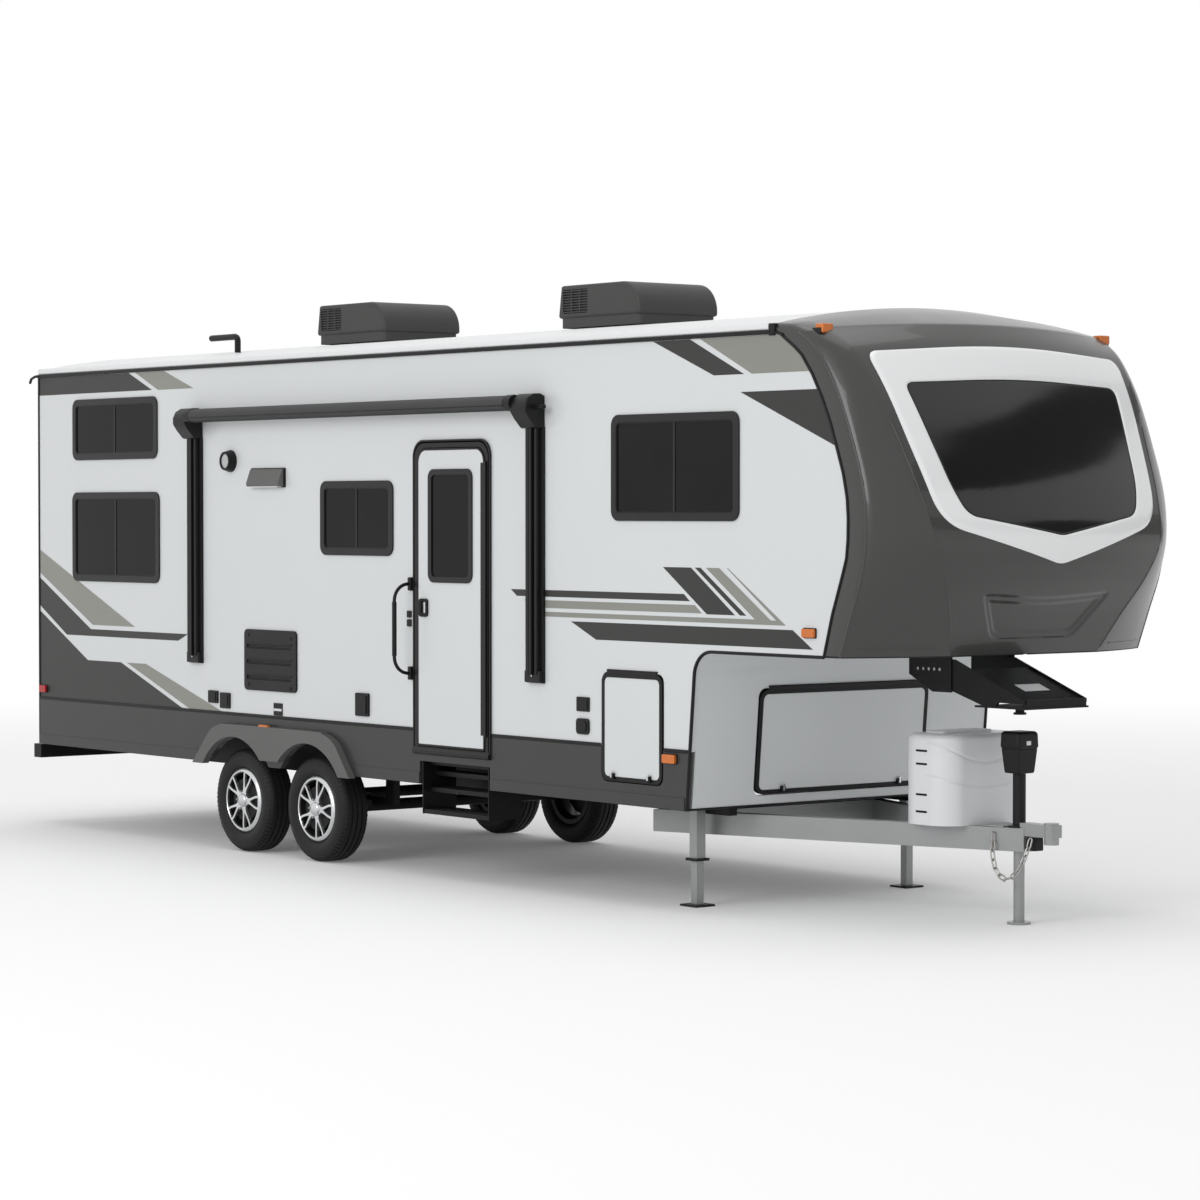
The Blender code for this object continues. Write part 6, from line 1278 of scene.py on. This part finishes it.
# Marker lamps and tail lamps
# Small amber lenses on black feet, on the nose, the walls and the arches, and red ones at the rear.
amber = finish("amber", (0.62, 0.160, 0.022), 0.22, drift=0.08, drift_scale=20.0)
red_lens = finish("red_lens", (0.42, 0.008, 0.012), 0.20, drift=0.08, drift_scale=20.0)
NOSE_MARKER_Y, TAIL_LAMP_Y = 1.083, 0.93
WALL_MARKERS = (
    # name, low x, high x, low z, high z, distance of the face behind it, finish
    ("marker_front", 5.162, 5.260, 1.609, 1.656, 1.1702, amber),
    ("marker_middle", 3.970, 4.082, 0.857, 0.907, 1.1764, amber),
    ("marker_rear", -3.238, -3.150, 0.972, 1.022, 1.1702, red_lens),
)
dress(red_lens, "tail_lamp_door", "tail_lamp_road")
for side, where in SIDES:
    for name, low_x, high_x, low_z, high_z, face, paint in WALL_MARKERS:
        marker_box = (low_x, high_x, low_z, high_z)
        settle(side_shape(side, [rounded(grown(marker_box, 0.005), 0.010, 4)], face, face + 0.006),
               f"{name}_foot_{where}", black_plastic)
        settle(round_edges(side_shape(side, [rounded(marker_box, 0.009, 4)], face + 0.004, face + 0.022),
                           0.006, 3),
               f"{name}_lens_{where}", paint)
    settle(round_edges(side_slab(side, -0.235, -0.125, 1.196, 1.2255, 0.846, 0.876), 0.007, 3),
           f"marker_arch_{where}", amber)
    marker_y = side * NOSE_MARKER_Y
    settle(round_edges(slab((5.168, marker_y - 0.048, 3.256), (5.246, marker_y + 0.048, 3.296)), 0.010, 3),
           f"nose_marker_foot_{where}", black_plastic)
    settle(round_edges(slab((5.192, marker_y - 0.040, 3.266), (5.258, marker_y + 0.040, 3.318)), 0.009, 3),
           f"nose_marker_lens_{where}", amber)
    lamp_y = side * TAIL_LAMP_Y
    bezel = flat_shape([rounded((lamp_y - 0.112, lamp_y + 0.112, 0.943, 1.097), 0.018, 4),
                        rounded((lamp_y - 0.1005, lamp_y + 0.1005, 0.9545, 1.0855), 0.012, 4)], "yz",
                       -3.275, -3.2604)
    round_edges(bezel, 0.003, 2)
    settle(bezel, f"tail_bezel_{where}", black_plastic)


# Entry steps
# Three pressed treads between side plates, with raised ribs that give shoes a hold.
RIBS, RIB_PITCH = 6, 0.020
TREADS = (
    # top z, distance of its front edge behind the plates' front
    (0.665, 0.100), (0.565, 0.055), (0.430, 0.006),
)
for level, (top_z, set_back) in enumerate(TREADS):
    front = -HALF_WIDTH + set_back
    settle(round_edges(slab((1.586, front - 0.0015, top_z - 0.022), (2.261, front + 0.014, top_z + 0.0035)),
                       0.003, 2),
           f"step_nosing_{level}", frame_paint)
    for rib in range(RIBS):
        y = front + 0.024 + rib * RIB_PITCH
        settle(round_edges(slab((1.592, y, top_z - 0.002), (2.255, y + 0.008, top_z + 0.003)), 0.002, 1),
               f"step_rib_{level}_{rib}", frame_paint)


# Roof units
# Air conditioners under dark grey moulded shrouds, louvred at the rear of either side.
unit_grey = finish("unit_grey", (0.052, 0.052, 0.0508), 0.50, drift=0.06, grain=0.0003,
                   grain_scale=300.0, specular=0.3)
AC_UNITS = (("ac_rear", -0.88), ("ac_front", 1.86))
AC_LENGTH, AC_HALF_WIDTH, AC_FOOT_Z = 0.82, 0.32, 3.4503
AC_SEAM_Z, AC_TOP_Z, AC_NOSE_RADIUS = AC_FOOT_Z + 0.062, AC_FOOT_Z + 0.2688, 0.175


def shape_with(piece, tool):
    """Cut a piece with a tool, and delete the tool."""
    pick_up(piece)
    cut = piece.modifiers.new("cut", "BOOLEAN")
    cut.operation = "DIFFERENCE"
    cut.solver = "EXACT"
    cut.object = tool
    bpy.ops.object.modifier_apply(modifier="cut")
    bpy.data.objects.remove(tool, do_unlink=True)
    return piece


for name, rear_x in AC_UNITS:
    front_x = rear_x + AC_LENGTH - 0.0002
    profile = [(rear_x + 0.0002, AC_SEAM_Z), (rear_x + 0.030, AC_TOP_Z)]
    for step in range(15):
        u, v = polar(AC_NOSE_RADIUS, 90 - 90 * step / 14)
        profile.append((front_x - AC_NOSE_RADIUS + u, AC_TOP_Z - AC_NOSE_RADIUS + v))
    profile.append((front_x, AC_SEAM_Z))
    shroud = flat_shape([profile], "xz", -AC_HALF_WIDTH, AC_HALF_WIDTH)
    round_edges(shroud, 0.020, 5, angle=60.0)
    louvre_box = (rear_x + 0.055, rear_x + 0.305, AC_SEAM_Z + 0.028, AC_TOP_Z - 0.028)
    for side in (-1, 1):
        shape_with(shroud, side_shape(side, [rounded(louvre_box, 0.012, 4)], 0.306, 0.340))
    settle(shroud, f"{name}_shroud", unit_grey, smooth=32.0)
    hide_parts(name)
    pan = flat_shape([rounded((rear_x + 0.014, front_x - 0.014, -AC_HALF_WIDTH + 0.014,
                               AC_HALF_WIDTH - 0.014), 0.03, 5)], "xy", AC_FOOT_Z + 0.0002,
                     AC_SEAM_Z + 0.006)
    round_edges(pan, 0.004, 2, angle=60.0)
    settle(pan, f"{name}_pan", unit_grey, smooth=32.0)
    for side, where in SIDES:
        low_x, high_x, low_z, high_z = louvre_box
        # A dark sheet on the floor of each louvre pocket: painted shade standing in for the dark inside of
        # the unit.
        settle(side_slab(side, low_x + 0.002, high_x - 0.002, 0.304, 0.308, low_z + 0.002, high_z - 0.002),
               f"{name}_louvre_painted_shade_{where}", floor_pan_and_painted_shade, smooth=0)
        grid_bars = []
        for row in range(9):
            z = low_z + (row + 0.5) * (high_z - low_z) / 9
            grid_bars.append(side_slab(side, low_x, high_x, 0.3065, 0.3192, z - 0.0035, z + 0.0035))
        for column in (1, 2):
            x = low_x + column * (high_x - low_x) / 3
            grid_bars.append(side_slab(side, x - 0.005, x + 0.005, 0.3065, 0.3192, low_z, high_z))
        settle(joined([round_edges(grid_bar, 0.0012, 1) for grid_bar in grid_bars]),
               f"{name}_louvre_{where}", unit_grey)
        rib_route = []
        for step in range(13):
            u, v = polar(AC_NOSE_RADIUS - 0.022, 90 - 90 * step / 12)
            rib_route.append((front_x - AC_NOSE_RADIUS + u, side * 0.3185, AC_TOP_Z - AC_NOSE_RADIUS + v))
        rib_route.append((front_x - 0.022, side * 0.3185, AC_SEAM_Z + 0.012))
        settle(bead(rib_route, 0.0045), f"{name}_rib_{where}", unit_grey, smooth=50.0)
dress(black_plastic, "vent_pipe")


# Drawbar, coupler and landing legs
# Welded steel tube painted silver grey, with a gusset at the coupler, and sleeved legs on flat feet.
silver_paint = finish("silver_paint", (0.315, 0.320, 0.322), 0.34, metallic=0.35, drift=0.05,
                      drift_scale=2.5, grain=0.00015, grain_scale=500.0)
DRAWBAR_TOP_Z = 0.5394
LEG_Y = 0.8333
dress(silver_paint, "a_frame", "jack_leg", "landing_leg_door", "landing_leg_road")
gusset = flat_shape([[(5.440, 0.118), (5.598, 0.080), (5.598, -0.080), (5.440, -0.118)]], "xy",
                    DRAWBAR_TOP_Z, DRAWBAR_TOP_Z + 0.009)
round_edges(gusset, 0.003, 2)
settle(gusset, "coupler_gusset", silver_paint)
settle(round_edges(slab((5.735, -0.034, 0.418), (5.802, 0.034, 0.491)), 0.006, 3),
       "chain_bracket", black_plastic)
for side, where in SIDES:
    leg_y = side * LEG_Y
    settle(round_edges(slab((3.804, leg_y - 0.051, 0.266), (3.906, leg_y + 0.051, 0.2815)), 0.003, 2),
           f"leg_collar_{where}", black_plastic)
    settle(round_edges(slab((3.781, leg_y - 0.0735, 0.0002), (3.929, leg_y + 0.0735, 0.0135)), 0.004, 2),
           f"leg_foot_{where}", black_plastic)


# Drawbar jack
# A powered screw jack: a black steel tube with a moulded housing and a cap over its motor.
JACK_X = 5.645


def tapered_slab(size, low_z, high_z, foot_share, top_share):
    """A box round the jack's axis that widens or narrows from its foot to its top."""
    piece = slab((JACK_X - size[0] / 2, -size[1] / 2, low_z), (JACK_X + size[0] / 2, size[1] / 2, high_z))
    for end_z, share in ((low_z, foot_share), (high_z, top_share)):
        pick(piece, "FACE", lambda middle, direction: abs(middle.z - end_z) < 0.001)
        bpy.ops.transform.resize(value=(share, share, 1.0), center_override=at(JACK_X, 0, end_z))
        bpy.ops.object.mode_set(mode="OBJECT")
    return piece


jack_tube = settle(bead([(JACK_X, 0, 0.5398), (JACK_X, 0, 0.855)], 0.0368, sides=8),
                   "jack_tube", black_plastic, smooth=40.0)
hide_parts("tongue_jack")
settle(round_edges(bead([(JACK_X, 0, 0.5398), (JACK_X, 0, 0.550)], 0.060, sides=8), 0.002, 2),
       "jack_flange", black_plastic, smooth=40.0)
settle(round_edges(tapered_slab((0.155, 0.167), 0.841, 0.984, 0.76, 0.92), 0.012, 4),
       "jack_housing", black_plastic, smooth=40.0)
settle(round_edges(tapered_slab((0.1555, 0.1675), 0.974, 1.0755, 1.0, 0.96), 0.022, 6),
       "jack_cap", black_plastic, smooth=40.0)
settle(round_edges(slab((5.7205, -0.022, 1.000), (5.7265, 0.010, 1.024)), 0.002, 2),
       "jack_switch", lens_white)


# Hitch pin box
# Thick black steel plate: cheeks bolted under the nose and a tapering arm with the pin at its end.
ARM_HIGH, ARM_LOW = (5.480, 1.418), (5.915, 1.2545)
ARM_SLOPE = math.atan((ARM_HIGH[1] - ARM_LOW[1]) / (ARM_LOW[0] - ARM_HIGH[0]))
SIGN_X = 5.700
SIGN_Z = ARM_HIGH[1] - (SIGN_X - ARM_HIGH[0]) * math.tan(ARM_SLOPE)
BOLTS, BOLT_START_X, BOLT_PITCH = 5, 5.095, 0.044
BOLT_Y, BOLT_Z = 0.2500, 1.412
for side, where in SIDES:
    bolts = []
    for index in range(BOLTS):
        x = BOLT_START_X + index * BOLT_PITCH
        bolts.append(bead([(x, side * BOLT_Y, BOLT_Z), (x, side * (BOLT_Y + 0.0045), BOLT_Z)], 0.0095))
    settle(joined(bolts), f"pin_box_bolts_{where}", nut_steel)
sign = slab((SIGN_X, -0.095, SIGN_Z + 0.0008), (SIGN_X + 0.090, 0.095, SIGN_Z + 0.0030))
tipped(sign, (SIGN_X, 0, SIGN_Z), ARM_SLOPE)
settle(sign, "pin_box_blank_label", lens_white, smooth=0)


# Gas bottle cover
# A moulded white shell over two bottles, with dished grooves round its front and finger slots in its ends.
cover_shell = finish("cover_shell", (0.74, 0.750, 0.765), 0.34, drift=0.02, grain=0.0001,
                     grain_scale=600.0, coat=0.15)
COVER_X, COVER_FOOT_Z, COVER_TOP_Z = 5.205, 0.5398, 1.0478
COVER_HALF_LENGTH, COVER_HALF_WIDTH = 0.1950, 0.3250
COVER_CORNER, COVER_TOP_EDGE = 0.14, 0.036
COVER_GROOVES = (
    # rise of a groove at the middle of the front, how much more it rises at the ends
    (0.350, 0.113), (0.210, 0.063),
)
GROOVE_DEPTH, GROOVE_HALF = 0.0060, 0.0110
SLOT_RISES = (0.068, 0.164, 0.336, 0.410)
cover_box = (COVER_X - COVER_HALF_LENGTH, COVER_X + COVER_HALF_LENGTH, -COVER_HALF_WIDTH, COVER_HALF_WIDTH)


def even_outline(points, count):
    """Points at even distances along a closed outline, each with its outward direction."""
    places = [Vector(point) for point in points]
    lengths = [(b - a).length for a, b in zip(places, places[1:] + places[:1])]
    step, result, travelled, index = sum(lengths) / count, [], 0.0, 0
    for k in range(count):
        while k * step > travelled + lengths[index]:
            travelled += lengths[index]
            index += 1
        share = (k * step - travelled) / lengths[index]
        along = places[(index + 1) % len(places)] - places[index]
        result.append((places[index] + along * share, Vector((along.y, -along.x)).normalized()))
    return result


cover_corners = enumerate(rounded(cover_box, COVER_CORNER, 14))
cover_outline = even_outline([place for index, place in cover_corners if index % 15 or index == 0], 180)
levels = [(COVER_FOOT_Z + 0.0047 * step, 0.0) for step in range(101)]
levels += [(COVER_TOP_Z - COVER_TOP_EDGE * (1 - math.sin(turn)), COVER_TOP_EDGE * (1 - math.cos(turn)))
           for turn in (math.radians(10 * step) for step in range(1, 10))]
points = []
for z, inset in levels:
    for place, outward in cover_outline:
        depth = inset
        if place.x > COVER_X:
            for middle_rise, end_rise in COVER_GROOVES:
                away = abs(z - COVER_FOOT_Z - middle_rise - end_rise * (place.y / COVER_HALF_WIDTH) ** 2)
                level = 1 - soft_step(away, 0.0, GROOVE_HALF)
                depth += GROOVE_DEPTH * level * soft_step(place.x, COVER_X, 0.05)
        points.append(at(place.x - outward.x * depth, place.y - outward.y * depth, z))
ring = len(cover_outline)
faces = ring_faces(ring, [(k, k + 1) for k in range(len(levels) - 1)])
faces += [tuple(range(ring)), tuple(range((len(levels) - 1) * ring, len(levels) * ring))]
cover = settle(mesh_piece(points, faces), "gas_cover_shell", cover_shell, smooth=35.0)
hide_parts("propane_cover")
pad = flat_shape([rounded((COVER_X - 0.115, COVER_X + 0.035, -0.200, 0.200), 0.03, 6)], "xy",
                 COVER_TOP_Z - 0.004, COVER_TOP_Z + 0.0118)
round_edges(pad, 0.006, 4, angle=60.0)
settle(pad, "gas_cover_pad", cover_shell)
for side, where in SIDES:
    # Each finger slot is a black patch laid on the shell, not a hole: painted shade standing in for the dark
    # inside of the slot.
    for index, rise in enumerate(SLOT_RISES):
        slot_box = (COVER_X - 0.050, COVER_X + 0.040, COVER_FOOT_Z + rise, COVER_FOOT_Z + rise + 0.012)
        slot = side_shape(side, [rounded(slot_box, 0.0055, 4)],
                          COVER_HALF_WIDTH - 0.004, COVER_HALF_WIDTH + 0.0008)
        settle(slot, f"gas_cover_slot_{where}_{index}", black_plastic)


# Safety chain
# Welded steel links hung from the drawbar beside the jack and hooked to the coupler's bracket.
CHAIN_BAR, CHAIN_LINK, CHAIN_HALF_WIDTH = 0.0045, 0.058, 0.0125
CHAIN_ROUTE = (
    (5.560, -0.1149, 0.510), (5.558, -0.1149, 0.460), (5.558, -0.122, 0.400), (5.590, -0.124, 0.300),
    (5.655, -0.123, 0.258), (5.725, -0.116, 0.285), (5.770, -0.090, 0.370), (5.785, -0.0560, 0.470),
    (5.790, -0.0544, 0.530),
)
chain_steel = finish("chain_steel_finish", (0.42, 0.41, 0.39), 0.32, metallic=0.9,
                     drift=0.12, drift_scale=25.0)
route = [Vector(place) for place in smooth_route(CHAIN_ROUTE, 30)]
stations, travelled = [route[0]], 0.0
for first, second in zip(route, route[1:]):
    travelled += (second - first).length
    if travelled >= CHAIN_LINK - 2 * CHAIN_BAR - 0.0005:
        stations.append(second)
        travelled = 0.0
links = []
for index, (start, end) in enumerate(zip(stations, stations[1:])):
    half = (end - start).length / 2 + CHAIN_BAR * 0.9 - CHAIN_HALF_WIDTH
    along = (end - start).normalized()
    across = Vector((0, 1, 0)) if index % 2 == 0 else along.cross(Vector((0, 1, 0))).normalized()
    middle = (start + end) / 2
    loop = []
    for centre_u, first_turn in ((half, -90), (-half, 90)):
        for step in range(7):
            u, v = polar(CHAIN_HALF_WIDTH, first_turn + 30 * step)
            loop.append(middle + along * (centre_u + u) + across * v)
    links.append(bead(loop + [loop[0], loop[1]], CHAIN_BAR))
chain = settle(joined(links), "chain_links", chain_steel, smooth=50.0)
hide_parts("safety_chain")
